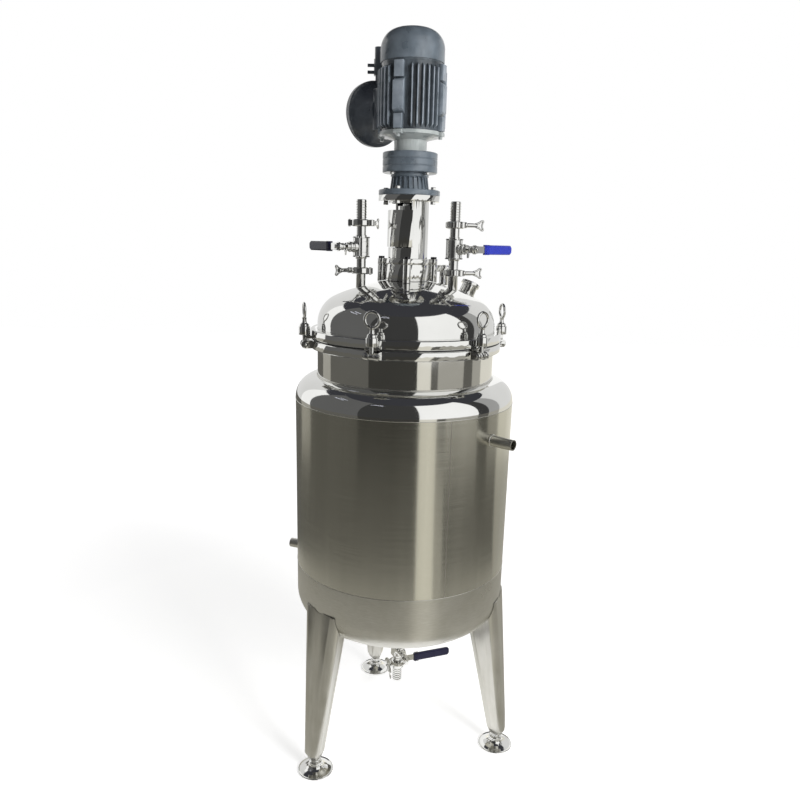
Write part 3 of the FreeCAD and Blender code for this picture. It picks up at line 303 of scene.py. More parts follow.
# Fin enamel with painted shade darkening into the gaps between the fins.
FIN_PAINT = make_paint("fin_enamel_painted_gap_shade", (0.16, 0.19, 0.22), (0.30, 0.34, 0.39), FIN_GAP)
# A darker copy of the motor enamel for the terminal box: painted shade, as the box stands on the shaded side.
SHADED_BOX_PAINT = make_paint("box_enamel_painted_shade", (0.045, 0.055, 0.07), (0.085, 0.10, 0.12))
PALE_PAINT = make_paint("shield_enamel", (0.30, 0.33, 0.33), (0.45, 0.48, 0.47))
BLUE = make_vinyl("blue_vinyl", (0.025, 0.04, 0.42))
NAVY = make_vinyl("navy_vinyl", (0.012, 0.012, 0.045))
RUBBER = make_rubber()
DARK = make_dark_steel()
GLASS = make_glass()
FAN = make_vinyl("fan_plastic", (0.03, 0.03, 0.03))


# Shapes

def arc(centre_r, centre_z, radius, start, end, steps):
    """Points of an arc in a profile, its angles in degrees from the outward direction."""
    points = []
    for step in range(steps + 1):
        angle = math.radians(start + (end - start) * step / steps)
        points.append((centre_r + radius * math.cos(angle), centre_z + radius * math.sin(angle)))
    return points


def eased(points, radius, closed=True, steps=3):
    """The same outline with each corner rounded."""
    out = []
    count = len(points)
    for number, point in enumerate(points):
        here = Vector(point)
        if not closed and number in (0, count - 1):
            out.append(tuple(here))
            continue
        before = Vector(points[number - 1]) - here
        after = Vector(points[(number + 1) % count]) - here
        reach = min(radius, before.length * 0.45, after.length * 0.45)
        if reach < 1e-3 or abs(before.normalized().dot(after.normalized())) > 0.998:
            out.append(tuple(here))
            continue
        first = here + before.normalized() * reach
        last = here + after.normalized() * reach
        for step in range(steps + 1):
            share = step / steps
            point_on = first * (1 - share) ** 2 + here * 2 * share * (1 - share) + last * share ** 2
            out.append(tuple(point_on))
    return out


class Shape:
    """Collects the faces of one piece."""

    def __init__(self):
        self.bm = bmesh.new()

    def ring(self, points, where):
        return [self.bm.verts.new(where @ Vector(point)) for point in points]

    def bridge(self, first, second):
        """Joins two rings with faces, where one of them may be a single point."""
        count = max(len(first), len(second))
        for number in range(count):
            after = (number + 1) % count
            if len(first) == 1:
                self.bm.faces.new((first[0], second[number], second[after]))
            elif len(second) == 1:
                self.bm.faces.new((first[number], second[0], first[after]))
            else:
                self.bm.faces.new((first[number], second[number], second[after], first[after]))

    def lathe(self, profile, where, segments=48, closed=True):
        """Turns a profile of radius and height about the local Z axis."""
        rings = []
        for radius, height in profile:
            if radius < 1e-7:
                rings.append(self.ring([(0, 0, height)], where))
                continue
            points = []
            for step in range(segments):
                angle = 2 * math.pi * step / segments
                points.append((radius * math.cos(angle), radius * math.sin(angle), height))
            rings.append(self.ring(points, where))
        pairs = list(zip(rings, rings[1:]))
        if closed and len(rings[0]) > 1 and len(rings[-1]) > 1:
            pairs.append((rings[-1], rings[0]))
        for first, second in pairs:
            if len(first) > 1 or len(second) > 1:
                self.bridge(first, second)
        return self

    def disc(self, radius, bottom, top, where, ease=0.6, bore=0.0, segments=40):
        """A round disc or ring with eased edges."""
        corners = [(bore, bottom), (radius, bottom), (radius, top), (bore, top)]
        return self.lathe(eased(corners, ease, bore > 0), where, segments, bore > 0)

    def prism(self, outline, bottom, top, where, ease=0.8):
        """Pushes a flat outline of x and y from bottom to top, with eased edges."""
        centre = sum((Vector(point) for point in outline), Vector((0, 0))) / len(outline)
        layers = [(bottom, 1), (bottom + ease, 0), (top - ease, 0), (top, 1)]
        rings = []
        for level, inset in layers:
            points = []
            for number, point in enumerate(outline):
                here = Vector(point)
                edge = Vector(outline[(number + 1) % len(outline)]) - Vector(outline[number - 1])
                inward = Vector((-edge.y, edge.x))
                if inward.length > 1e-9:
                    inward.normalize()
                if inward.dot(centre - here) < 0:
                    inward = -inward
                here = here + inward * ease * inset
                points.append((here.x, here.y, level))
            rings.append(self.ring(points, where))
        for first, second in zip(rings, rings[1:]):
            self.bridge(first, second)
        self.bm.faces.new(rings[0])
        self.bm.faces.new(rings[-1])
        return self

    def tube(self, path, radius, where, segments, closed=False):
        """Sweeps a circle along points."""
        points = [Vector(point) for point in path]
        count = len(points)
        rings = []
        normal = None
        for number, point in enumerate(points):
            if closed:
                along = points[(number + 1) % count] - points[number - 1]
            else:
                along = points[min(number + 1, count - 1)] - points[max(number - 1, 0)]
            along.normalize()
            if normal is None:
                normal = along.orthogonal().normalized()
            normal = (normal - along * normal.dot(along)).normalized()
            side = along.cross(normal)
            circle = []
            for step in range(segments):
                angle = 2 * math.pi * step / segments
                circle.append(point + (normal * math.cos(angle) + side * math.sin(angle)) * radius)
            rings.append(self.ring(circle, where))
        for first, second in zip(rings, rings[1:]):
            self.bridge(first, second)
        if closed:
            self.close_tube(rings, segments)
        else:
            self.bm.faces.new(rings[0])
            self.bm.faces.new(rings[-1])
        return self

    def close_tube(self, rings, segments):
        """Joins the last ring to the first with the least twist."""
        last, first = rings[-1], rings[0]
        shift = min(range(segments), key=lambda k: (last[0].co - first[k].co).length)
        self.bridge(last, first[shift:] + first[:shift])

    def bead(self, radius, level, size, where, segments=192):
        """A low round weld bead or ring about the local Z axis."""
        return self.lathe(arc(radius, level, size, 0, 315, 7), where, segments)

    def piece(self, name, material, body="frame", sharp=35.0, instead_of=()):
        bmesh.ops.recalc_face_normals(self.bm, faces=self.bm.faces)
        mesh = bpy.data.meshes.new(name)
        self.bm.to_mesh(mesh)
        self.bm.free()
        mesh.materials.append(material)
        for polygon in mesh.polygons:
            polygon.use_smooth = True
        mesh.set_sharp_from_angle(angle=math.radians(sharp))
        item = bpy.data.objects.new(name, mesh)
        bpy.context.scene.collection.objects.link(item)
        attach(item, body)
        if instead_of:
            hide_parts(*instead_of)
        return item


def hexagon(across):
    """Corner points of a hexagon by its width across flats."""
    return [polar(across / math.sqrt(3), 60 * corner + 30) for corner in range(6)]


def rounded_box(width, depth, corner, steps=5):
    """A rectangle about the origin with round corners."""
    points = []
    for number, (sx, sy) in enumerate(((1, 1), (-1, 1), (-1, -1), (1, -1))):
        centre = Vector((sx * (width / 2 - corner), sy * (depth / 2 - corner)))
        for step in range(steps + 1):
            angle = math.radians(90 * number + 90 * step / steps)
            points.append((centre.x + corner * math.cos(angle), centre.y + corner * math.sin(angle)))
    return points


def paint_node(name, material):
    item = nodes[name]
    item.data.materials.clear()
    item.data.materials.append(material)


NODE_LOOKS = {
    MIRROR: [
        "vessel_shell", "vessel_flange", "lid_flange", "bolt_pins", "lid_shell", "lid_hub", "lantern",
        "left_nozzle", "right_nozzle", "left_clamps", "right_clamps", "left_hose_tail", "right_hose_tail",
        "left_valve_body", "right_valve_body", "drain_valve_body", "drain_clamp", "drain_hose_tail",
        "rear_nozzle", "sight_port", "shaft_coupling", "foot_right", "foot_back", "foot_left",
        "left_lever", "right_lever", "drain_lever",
    ] + [f"swing_bolt_{number}" for number in range(1, 7)],
    SATIN: ["jacket_outlet", "jacket_inlet", "window_guard", "shaft_seal", "agitator_shaft",
            "anchor_impeller", "drain_outlet", "motor_rotor"],
    BRUSHED: ["jacket_shell"],
    LEG_STEEL: ["leg_right", "leg_back", "leg_left"],
    RUBBER: ["flange_gasket"],
    DARK: ["hub_bolts"],
    PAINT: ["reducer_foot", "gear_casing", "motor_housing", "fan_cover", "terminal_box",
            "terminal_cover", "cable_gland"],
    PALE_PAINT: ["motor_end_shield"],
    FAN: ["cooling_fan"],
    GLASS: ["sight_glass"],
    BLUE: ["right_grip"],
    NAVY: ["left_grip", "drain_grip"],
}


for look_material, names in NODE_LOOKS.items():
    for node_name in names:
        paint_node(node_name, look_material)


# Vessel, jacket and lid

SMOOTH = 256
HEAD_CROWN, HEAD_KNUCKLE = 405.0, 78.0
JACKET_CROWN, JACKET_KNUCKLE = 574.0, 80.0
WALL, JACKET_WALL = 4.0, 3.0
VESSEL_OUTLET, LID_BORE, JACKET_OUTLET = 9.0, 26.0, 12.4
NECK_GAP = 0.4
WELD_RISE, WELD_DEPTH, WELD_SIZE, NECK_WELD = 0.8, 0.4, 1.15, 2.0
SEAM_AZIMUTH = -66.0
PORT_LENGTH, PORT_ROOT, PORT_RADIUS, PORT_BORE, PORT_WELD = 62.0, 6.0, 13.5, 11.0, 2.6
SHOULDER_BEND = 57.0
UPPER_SEAM, LOWER_SEAM = 998.0, 549.0
VESSEL_RADIUS = ends("lid_shell")[1].x
JACKET_RADIUS = ends("jacket_shell")[1].x
CENTRE = spot()


def head_rise(radius, crown, knuckle):
    return math.sqrt((crown - knuckle) ** 2 - (radius - knuckle) ** 2)


def dished(radius, crown, knuckle, line, up, wall=0.0):
    """Profile points of a dished head, from its straight wall to the axis."""
    tangent = math.degrees(math.asin((radius - knuckle) / (crown - knuckle)))
    ball = line - up * head_rise(radius, crown, knuckle)
    points = arc(radius - knuckle, line, knuckle - wall, 0, up * (90 - tangent), 16)
    return points + arc(0, ball, crown - wall, up * (90 - tangent), up * 90, 30)[1:]


def holed(points, radius):
    """The same points, cut off at a hole round the axis."""
    kept = [point for point in points if point[0] > radius]
    return kept + [(radius, points[-1][1])]


def head_shell(radius, crown, knuckle, start, line, up, wall, hole):
    outer = holed(dished(radius, crown, knuckle, line, up), hole)
    inner = holed(dished(radius, crown, knuckle, line, up, wall), hole)
    return [(radius, start)] + outer + inner[::-1] + [(radius - wall, start)]


def make_vessel():
    rise = head_rise(VESSEL_RADIUS, HEAD_CROWN, HEAD_KNUCKLE)
    line = floor_of("vessel_shell") - rise + HEAD_CROWN
    head = (VESSEL_RADIUS, HEAD_CROWN, HEAD_KNUCKLE)
    profile = head_shell(*head, top_of("vessel_shell"), line, -1, WALL, VESSEL_OUTLET)
    Shape().lathe(profile, CENTRE, SMOOTH).piece("vessel_wall", MIRROR, instead_of=["vessel_shell"])
    line = top_of("lid_shell") + rise - HEAD_CROWN
    profile = head_shell(*head, floor_of("lid_shell"), line, 1, WALL, LID_BORE)
    Shape().lathe(profile, CENTRE, SMOOTH).piece("lid_dome", MIRROR, instead_of=["lid_shell"])


def make_jacket():
    top = top_of("jacket_shell")
    radius, wall = JACKET_RADIUS - WELD_RISE, JACKET_WALL
    inner = radius - wall
    neck = VESSEL_RADIUS + NECK_GAP
    bend = (radius - SHOULDER_BEND, top - SHOULDER_BEND)
    profile = [(neck, top - wall), (neck, top)] + arc(*bend, SHOULDER_BEND, 90, 0, 20)
    profile += [(radius, UPPER_SEAM), (inner, UPPER_SEAM)]
    profile += arc(*bend, SHOULDER_BEND - wall, 0, 90, 20)
    Shape().lathe(profile, CENTRE, SMOOTH).piece("jacket_shoulder", MIRROR, instead_of=["jacket_shell"])
    profile = [(inner, LOWER_SEAM), (radius, LOWER_SEAM), (radius, UPPER_SEAM), (inner, UPPER_SEAM)]
    Shape().lathe(profile, CENTRE, SMOOTH).piece("jacket_wall", BRUSHED, instead_of=["jacket_shell"])
    line = floor_of("jacket_shell") - head_rise(radius, JACKET_CROWN, JACKET_KNUCKLE) + JACKET_CROWN
    profile = head_shell(radius, JACKET_CROWN, JACKET_KNUCKLE, LOWER_SEAM, line, -1, wall, JACKET_OUTLET)
    Shape().lathe(profile, CENTRE, SMOOTH).piece("jacket_dish", SATIN, instead_of=["jacket_shell"])
    seams = Shape()
    seam_radius = radius - WELD_DEPTH
    for level in (UPPER_SEAM, LOWER_SEAM):
        seams.bead(seam_radius, level, WELD_SIZE, CENTRE)
    seams.bead(neck + 0.4, top + 0.6, NECK_WELD, CENTRE)
    seam = polar(seam_radius, SEAM_AZIMUTH)
    seams.tube([(*seam, LOWER_SEAM), (*seam, UPPER_SEAM)], WELD_RISE, CENTRE, 8)
    seams.piece("jacket_welds", SATIN)


def make_port(name):
    """A plain pipe stub with a weld at the jacket."""
    centre = middle(name)
    azimuth = azimuth_of(mounts[name + "_pipe"]["axis"])
    here = spot(0, 0, centre.z, azimuth, 90)
    start, end = JACKET_RADIUS - PORT_ROOT, JACKET_RADIUS + PORT_LENGTH
    profile = eased([(PORT_BORE, start), (PORT_RADIUS, start), (PORT_RADIUS, end), (PORT_BORE, end)], 0.5)
    stub = Shape().lathe(profile, here, 64)
    weld = arc(PORT_RADIUS - 0.1, JACKET_RADIUS + 0.8, PORT_WELD, -80, 100, 8) + [(PORT_RADIUS - 0.5, start)]
    stub.lathe(weld, here, 64)
    stub.piece(name + "_stub", SATIN, instead_of=[name])


# Ring nuts, pins and flanges

def threads(radius, start, end, pitch=1.75, depth=0.9):
    """Profile points of a screw thread, drawn as close rings."""
    root = radius - depth
    points = [(root, start)]
    level = start + pitch / 2
    while level < end - pitch / 2:
        points += [(radius, level), (root, level + pitch / 2)]
        level += pitch
    return points + [(root, end)]


def ring_points(radius, level, steps=48):
    angles = [2 * math.pi * step / steps for step in range(steps)]
    return [(0, radius * math.cos(angle), level + radius * math.sin(angle)) for angle in angles]


RING_RADIUS, RING_BAR = 17.5, 3.5
RING_NECK, NUT_HEIGHT = 31.0, 30.0
BOLT_RADIUS, BOLT_EYE, EYE_HALF, EYE_BORE = 6.0, 8.5, 6.4, 4.4


def make_swing_bolt(name):
    pin = anchor(name + "_swing")
    azimuth = azimuth_of(pin)
    here = spot(pin.x, pin.y, 0, azimuth)
    ring_level = top_of(name) - RING_RADIUS - RING_BAR
    nut_top = ring_level - RING_NECK
    nut_bottom = nut_top - NUT_HEIGHT
    across = spot(pin.x, pin.y, pin.z, azimuth + 90, 90)
    bolt = Shape().disc(BOLT_EYE, -EYE_HALF, EYE_HALF, across, 2.4, bore=EYE_BORE)
    start, end = pin.z + 7, nut_bottom + 1
    bolt.lathe([(0, start)] + threads(BOLT_RADIUS, start, end) + [(0, end)], here)
    nut = [(0, nut_bottom), (13.4, nut_bottom), (14.5, nut_bottom + 1.2), (14.5, nut_bottom + 20),
           (13.6, nut_bottom + 21.5), (12.2, nut_bottom + 22), (11.4, nut_top - 3), (8, nut_top),
           (0, nut_top)]
    bolt.lathe(eased(nut, 0.5, False), here, 64, False)
    ring_bottom = ring_level - RING_RADIUS
    neck = [(0, nut_top - 1), (7.5, nut_top - 1), (6, nut_top + 2), (5.2, nut_top + 8), (6.2, ring_bottom),
            (0, ring_bottom)]
    bolt.lathe(eased(neck, 1.0, False), here, 40, False)
    bolt.tube(ring_points(RING_RADIUS, ring_level), RING_BAR, here, 18, True)
    bolt.piece(name + "_eye", MIRROR, name, instead_of=[name])


def make_pins():
    pins = Shape()
    for number in range(1, 7):
        pin = anchor(f"swing_bolt_{number}_swing")
        here = spot(pin.x, pin.y, pin.z, azimuth_of(pin) + 90, 90)
        profile = [(0, -21.5), (6, -21.5), (6.4, -21), (6.4, -18.6), (4, -18.6), (4, 20), (3.2, 20.8),
                   (0, 20.8)]
        pins.lathe(eased(profile, 0.3, False), here, 28, False)
        pins.lathe([(4, 18.6), (6.6, 18.6), (6.6, 19.4), (4, 19.4)], here, 28)
    pins.piece("hinge_pins", MIRROR, instead_of=["bolt_pins"])


EDGE_ANGLE, MERGE_REACH, FLAT_ANGLE = 28.0, 0.01, 0.6


def dress(name, material, width=0.6):
    """The node's own form with its edges rounded, as a piece that stands for it."""
    shape = Shape()
    shape.bm.from_mesh(nodes[name].data)
    points, edges = shape.bm.verts, shape.bm.edges
    bmesh.ops.remove_doubles(shape.bm, verts=points, dist=MERGE_REACH * MM)
    bmesh.ops.dissolve_limit(shape.bm, angle_limit=math.radians(FLAT_ANGLE), verts=points, edges=edges)
    item = shape.piece(name + "_finish", material, sharp=180, instead_of=[name])
    bevel = item.modifiers.new("edges", "BEVEL")
    bevel.width = width * MM
    bevel.segments = 2
    bevel.limit_method = "ANGLE"
    bevel.angle_limit = math.radians(EDGE_ANGLE)
    bevel.harden_normals = True


# Clamps, valves and hose tails

def smooth_loop(points, steps=6):
    """A closed curve through points."""
    out = []
    count = len(points)
    for number in range(count):
        before, here, after, beyond = (Vector(points[(number + shift) % count]) for shift in (-1, 0, 1, 2))
        for step in range(steps):
            share = step / steps
            straight = 2 * here + (after - before) * share
            bend = (2 * before - 5 * here + 4 * after - beyond) * share ** 2
            twist = (3 * here - before - 3 * after + beyond) * share ** 3
            out.append(0.5 * (straight + bend + twist))
    return out


CLAMP_LUG = 28.0
WING_TIP = 64.0
# Lays a flat outline in the local YZ plane, its thickness along X
SIDEWAYS = Matrix(((0, 0, 1, 0), (1, 0, 0, 0), (0, 1, 0, 0), (0, 0, 0, 1)))
# Directions in which the lower and the upper clamp open
CLAMP_TURNS = {"left": (145, -10), "right": (-65, -65)}
DRAIN_CLAMP_TURN = -170.0
LOWER_JOINT, UPPER_JOINT, DRAIN_JOINT = 1325.0, 1439.0, 203.0
TAIL_LENGTH, TAIL_RIDGES = 55.0, 7
LEVER, DRAIN_LEVER, GRIP = 147.6, 134.0, 110.0
LEVER_LEVEL = 62.0


def add_clamp(shape, here):
    """A two-part pipe clamp with its hinge, long nut and looped wings."""
    ring = [(12.6, -8.5), (20.5, -8.5), (24, -5.8), (24, 5.8), (20.5, 8.5), (12.6, 8.5)]
    shape.lathe(eased(ring, 1.0), here, 64)
    shape.prism(rounded_box(16, 15, 2.5), -7, 7, here @ local(-25))
    shape.disc(3, -9, 9, here @ local(-30), 0.8)
    for side in (-1, 1):
        shape.prism(rounded_box(15, 9.5, 2.5), -7, 7, here @ local(25, 6.2 * side))
    shape.disc(6.8, -7.6, 7.6, here @ local(CLAMP_LUG, -12), 2.2)
    along = here @ local(CLAMP_LUG, 0, 0, 90, 90)
    rod_start, nut_start = -12, 11
    shape.lathe([(0, rod_start)] + threads(3.6, rod_start, nut_start) + [(0, nut_start)], along, 24)
    nut = [(0, nut_start), (7.2, nut_start), (7.2, nut_start + 4), (5.4, nut_start + 6),
           (5.0, nut_start + 28), (4.2, nut_start + 34), (0, nut_start + 35)]
    shape.lathe(eased(nut, 0.8, False), along, 36, False)
    tip = WING_TIP
    lobe = [(tip - 24, 2.5), (tip - 14, 6), (tip - 5, 11), (tip - 1, 9.5), (tip - 4, 4)]
    path = [(CLAMP_LUG, y, z) for y, z in lobe] + [(CLAMP_LUG, y, -z) for y, z in reversed(lobe)]
    shape.tube(smooth_loop(path), 2.3, here, 12, True)
    web = [(tip - 22, -3), (tip - 10, -4.5), (tip - 8, 0), (tip - 10, 4.5), (tip - 22, 3)]
    shape.prism(web, -1.2, 1.2, here @ local(CLAMP_LUG) @ SIDEWAYS, 0.3)


def tail_profile(length):
    """A ferrule and a ridged pipe, from the joint at zero."""
    points = [(9, 0), (17, 0), (17, 3), (12.6, 3.6), (12, 6)]
    pitch = 6.2
    for ridge in range(TAIL_RIDGES):
        level = length - 0.7 - pitch * (TAIL_RIDGES - ridge)
        points += [(12, level), (13.5, level + 0.8), (12.1, level + pitch - 0.8)]
    return points + [(12, length - 0.6), (11.4, length), (9, length)]


def valve_profile(low, high, open_end):
    half, collar = 21.5, 7.0
    points = [(9, low), (17, low), (17, low + 3), (12, low + 3.6), (12, -half - collar)]
    side = [(13.6, -half - collar), (14.2, -half - collar + 1), (14.2, -half), (18.6, -half),
            (19, -half + 0.5), (19, -13.4), (18, -13), (18, -12.4), (19, -12)]
    points += side + [(radius, -level) for radius, level in reversed(side)]
    if open_end:
        points += [(12, half + collar), (12, high - 3.6), (17, high - 3), (17, high)]
    else:
        points += [(13, high)]
    return points + [(9, high)]


def make_valve(name, drain=False):
    pivot = anchor(name + "_valve_turn")
    axis = Vector(joints[name + "_valve_turn"]["axis"])
    side = 1 if name == "right" else -1
    stem = azimuth_of(axis * side)
    here = spot(pivot.x, pivot.y, pivot.z, stem)
    low = floor_of(name + "_valve_body") - pivot.z
    high = top_of(name + "_valve_body") - pivot.z
    body = Shape().lathe(valve_profile(low, high, not drain), here, 64)
    for quarter in range(4):
        x, y = polar(17.6, 45 + 90 * quarter)
        for level in (-24.5, 21.5):
            body.prism(hexagon(7.2), level, level + 3, here @ local(x, y), 0.5)
        body.disc(2.8, -22, 22, here @ local(x, y), 0.3, segments=16)
    outward = here @ local(tilt=90)
    bonnet = [(0, 14), (13.5, 14), (13.5, 23), (10.5, 24), (10.5, 28), (12.6, 29), (12.6, 34), (9.4, 35),
              (9.4, 38), (10.6, 38.6), (10.6, 43), (0, 43)]
    body.lathe(eased(bonnet, 0.7, False), outward, 48, False)
    body.prism([(-3, -20), (2.5, -20), (4, -9), (-4, -9)], 43, 46, here @ SIDEWAYS, 0.4)
    body.piece(name + "_valve", MIRROR, instead_of=[name + "_valve_body"])
    make_lever(name, here, outward, -1 if name == "left" else 1)


def make_lever(name, here, outward, side):
    """The stem with its nut, the flat lever and its ridged sleeve."""
    body = name + "_valve_lever"
    length = DRAIN_LEVER if name == "drain" else LEVER
    lay = here @ local(LEVER_LEVEL) @ SIDEWAYS @ Matrix.Scale(side, 4, (1, 0, 0))
    lever = Shape()
    stem = [(0, 16), (5, 16), (5, 50), (8.6, 50.6), (8.6, 54), (7, 55), (8.6, 56), (8.6, 61.4),
            (0, 61.6)]
    lever.lathe(eased(stem, 0.4, False), outward, 40, False)
    eye = [polar(11, angle) for angle in range(50, 311, 10)]
    lever.prism(eye + [(length - 8, -8.5), (length - 8, 8.5)], 0, 4, lay, 0.5)
    lever.prism(hexagon(17), 66, 72, outward, 1.2)
    lever.lathe(eased([(0, 71), (5, 71), (5, 74), (3.4, 75.4), (0, 75.6)], 0.4, False), outward, 24, False)
    lever.piece(name + "_lever_plate", MIRROR, body, instead_of=[name + "_lever"])
    start = length - GRIP
    outline = rounded_corners(start, length, 11.5, near=2.5, far=8.0)
    sleeve = Shape().prism(outline, -3.5, 7.5, lay, 3.0)
    for ridge in range(4):
        place = start + 3 + 3.2 * ridge
        bar = [(place, -12), (place + 1.6, -12), (place + 1.6, 12), (place, 12)]
        sleeve.prism(bar, -4.1, 8.1, lay, 0.6)
    sleeve.piece(name + "_sleeve", BLUE if name == "right" else NAVY, body, instead_of=[name + "_grip"])


def rounded_corners(start, end, half, near, far):
    """A rectangle along x with one radius at its start and another at its end."""
    points = []
    corners = ((end, half, far, 0), (start, half, near, 90),
               (start, -half, near, 180), (end, -half, far, 270))
    for x, y, radius, angle in corners:
        centre = (x - radius if x == end else x + radius, y - math.copysign(radius, y))
        points += [(centre[0] + px, centre[1] + py)
                   for px, py in (polar(radius, angle + 90 * step / 6) for step in range(7))]
    return points


def make_stack(name):
    """The valve over its nozzle, two clamps and a hose tail."""
    centre = anchor(name + "_valve_turn")
    lower, upper = CLAMP_TURNS[name]
    clamps = Shape()
    add_clamp(clamps, spot(centre.x, centre.y, LOWER_JOINT, lower))
    add_clamp(clamps, spot(centre.x, centre.y, UPPER_JOINT, upper))
    clamps.piece(name + "_clamp_rings", MIRROR, instead_of=[name + "_clamps"])
    tail = Shape().lathe(tail_profile(TAIL_LENGTH), spot(centre.x, centre.y, UPPER_JOINT), 64)
    tail.piece(name + "_tail", MIRROR, instead_of=[name + "_hose_tail"])
    make_valve(name)
    dress(name + "_nozzle", MIRROR, 0.5)


def make_drain():
    clamp = Shape()
    add_clamp(clamp, spot(0, 0, DRAIN_JOINT, DRAIN_CLAMP_TURN))
    clamp.piece("drain_clamp_ring", MIRROR, instead_of=["drain_clamp"])
    upside_down = spot(z=DRAIN_JOINT) @ Matrix.Rotation(math.pi, 4, "X")
    tail = Shape().lathe(tail_profile(TAIL_LENGTH), upside_down, 64)
    tail.piece("drain_tail", MIRROR, instead_of=["drain_hose_tail"])
    make_valve("drain", True)


# Feet

def make_foot(side):
    name = "foot_" + side
    centre = anchor(name + "_turn")
    here = spot(centre.x, centre.y)
    profile = [(0, 0), (46.5, 0), (48, 1.4), (48, 4.4), (46.6, 5.6), (45, 5.2), (43, 4.2), (33, 6.2),
               (25, 9.4), (19.5, 13), (16.5, 17), (15.2, 20.5), (17.6, 22), (18.4, 25), (17.4, 28.6),
               (14, 30.4), (12, 31), (12, 34), (13.5, 35), (13.5, 39), (12, 40)]
    foot = Shape().lathe(eased(profile, 0.8, False) + [(12, 44), (0, 44)], here, 96, False)
    foot.piece(name + "_disc", MIRROR, name, instead_of=[name])


# Drive bolts

FLANGE_BOLTS = (-115, -25, 65, 155)
FLANGE_BOLT_CIRCLE, CASING_BOLT_CIRCLE = 65.0, 60.0
LANTERN_FLANGE, DRIVE_FLANGE = 14.0, 13.0


def make_drive_bolts():
    """Hexagon heads above and below the drive flange, and under the gear casing."""
    bolts = Shape()
    joint = floor_of("reducer_foot")
    casing = floor_of("gear_casing")
    for azimuth in FLANGE_BOLTS:
        here = spot(*polar(FLANGE_BOLT_CIRCLE, azimuth))
        bolts.prism(hexagon(12), joint + DRIVE_FLANGE, joint + DRIVE_FLANGE + 7, here)
        bolts.prism(hexagon(12), joint - LANTERN_FLANGE - 7, joint - LANTERN_FLANGE, here)
        bolts.prism(hexagon(9), casing - 6, casing, spot(*polar(CASING_BOLT_CIRCLE, azimuth - 20)))
    bolts.piece("drive_bolts", MIRROR)


make_vessel()
make_jacket()
make_drive_bolts()
for port in ("jacket_outlet", "jacket_inlet"):
    make_port(port)
for number in range(1, 7):
    make_swing_bolt(f"swing_bolt_{number}")
make_pins()
for stack in ("left", "right"):
    make_stack(stack)
make_drain()
for side in ("right", "back", "left"):
    make_foot(side)
for name in ("vessel_flange", "lid_flange"):
    dress(name, MIRROR, 0.8)
for name in ("lid_hub", "lantern", "rear_nozzle", "sight_port", "drain_outlet"):
    dress(name, MIRROR)
for name in ("reducer_foot", "gear_casing", "fan_cover"):
    dress(name, PAINT, 0.7)
# The terminal box, its cover and the gland take the darker enamel, which carries painted shade.
for name in ("terminal_box", "terminal_cover", "cable_gland"):
    dress(name, SHADED_BOX_PAINT, 0.7)
dress("motor_housing", FIN_PAINT, 0.7)
dress("motor_end_shield", PALE_PAINT, 0.7)
dress("window_guard", MIRROR, 0.3)
for side in ("right", "back", "left"):
    dress("leg_" + side, LEG_STEEL, 1.0)


# Camera

FOCAL_PIXELS = 729.6
FRAME_PIXELS = 800
SENSOR = 36.0
CENTRE_ROW = 430.0
CAMERA_PLACE = (0.0300, -1.9009, 1.3959)
CAMERA_PITCH = 0.2521
CAMERA_ROLL = 0.0247
CAMERA_YAW = -0.0203


def make_camera():
    data = bpy.data.cameras.new("camera")
    data.sensor_width = SENSOR
    data.lens = FOCAL_PIXELS / FRAME_PIXELS * SENSOR
    data.shift_y = (CENTRE_ROW - FRAME_PIXELS / 2) / FRAME_PIXELS
    camera = bpy.data.objects.new("camera", data)
    bpy.context.scene.collection.objects.link(camera)
    forward = Vector((math.sin(CAMERA_YAW) * math.cos(CAMERA_PITCH),
                      math.cos(CAMERA_YAW) * math.cos(CAMERA_PITCH), -math.sin(CAMERA_PITCH)))
    right = Vector((math.cos(CAMERA_YAW), -math.sin(CAMERA_YAW), 0))
    up = right.cross(forward)
    turned_right = right * math.cos(CAMERA_ROLL) + up * math.sin(CAMERA_ROLL)
    turned_up = up * math.cos(CAMERA_ROLL) - right * math.sin(CAMERA_ROLL)
    turned = Matrix((turned_right, turned_up, -forward)).transposed().to_4x4()
    camera.matrix_world = Matrix.Translation(CAMERA_PLACE) @ turned
    bpy.context.scene.camera = camera


make_camera()


# Studio: white world, pale floor, soft lamps, and grey cards that only polished metal mirrors

WORLD_LEVEL = 0.22
FLOOR_GLOW, FAR_GLOW = 0.55, 0.85
FADE_START, FADE_END = 0.9, 3.6
FLOOR_HALF = 9.0
WHITE, PALE, GREY, SHADE, DARK_GREY = 1.1, 0.8, 0.4, 0.13, 0.05
COOL, PLAIN, WARM = (0.95, 0.97, 1.12), (1.0, 1.0, 0.99), (1.0, 0.97, 0.86)
FRONT = -90.0
CARD_REACH, SILL, CARD_TOP, CEILING = 3.2, 0.68, 3.7, 5.6
NEAR_FLOOR, FLOOR_START, CARD_LIFT = 1.45, 0.36, 0.003
NEAR_LEVEL = 0.45
# Cards round the object: start and end in degrees from the front towards the right, whether the card reaches
# the ceiling, and its level above the sill, below it and on the floor
CARDS = [
    (-168, -128, False, PALE, SHADE, SHADE),
    (-128, -107, False, WHITE, GREY, SHADE),
    (-107, -44, True, SHADE, SHADE, SHADE),
    (-44, 16, True, DARK_GREY, DARK_GREY, SHADE),
    (16, 33, True, WHITE, PALE, PALE),
    (33, 42, True, WHITE, SHADE, GREY),
    (42, 79, True, WHITE, GREY, SHADE),
    (79, 94, False, DARK_GREY, SHADE, SHADE),
    (94, 112, False, GREY, GREY, SHADE),
    (112, 160, False, PALE, PALE, GREY),
    (160, 192, False, WHITE, WHITE, PALE),
]
# Thin bright strips high up: start, end and height
STRIPS = [(-96, -78, 3.9), (-92, -76, 4.3), (-42, -24, 4.4), (-38, -26, 4.75)]
STRIP_HEIGHT = 0.1


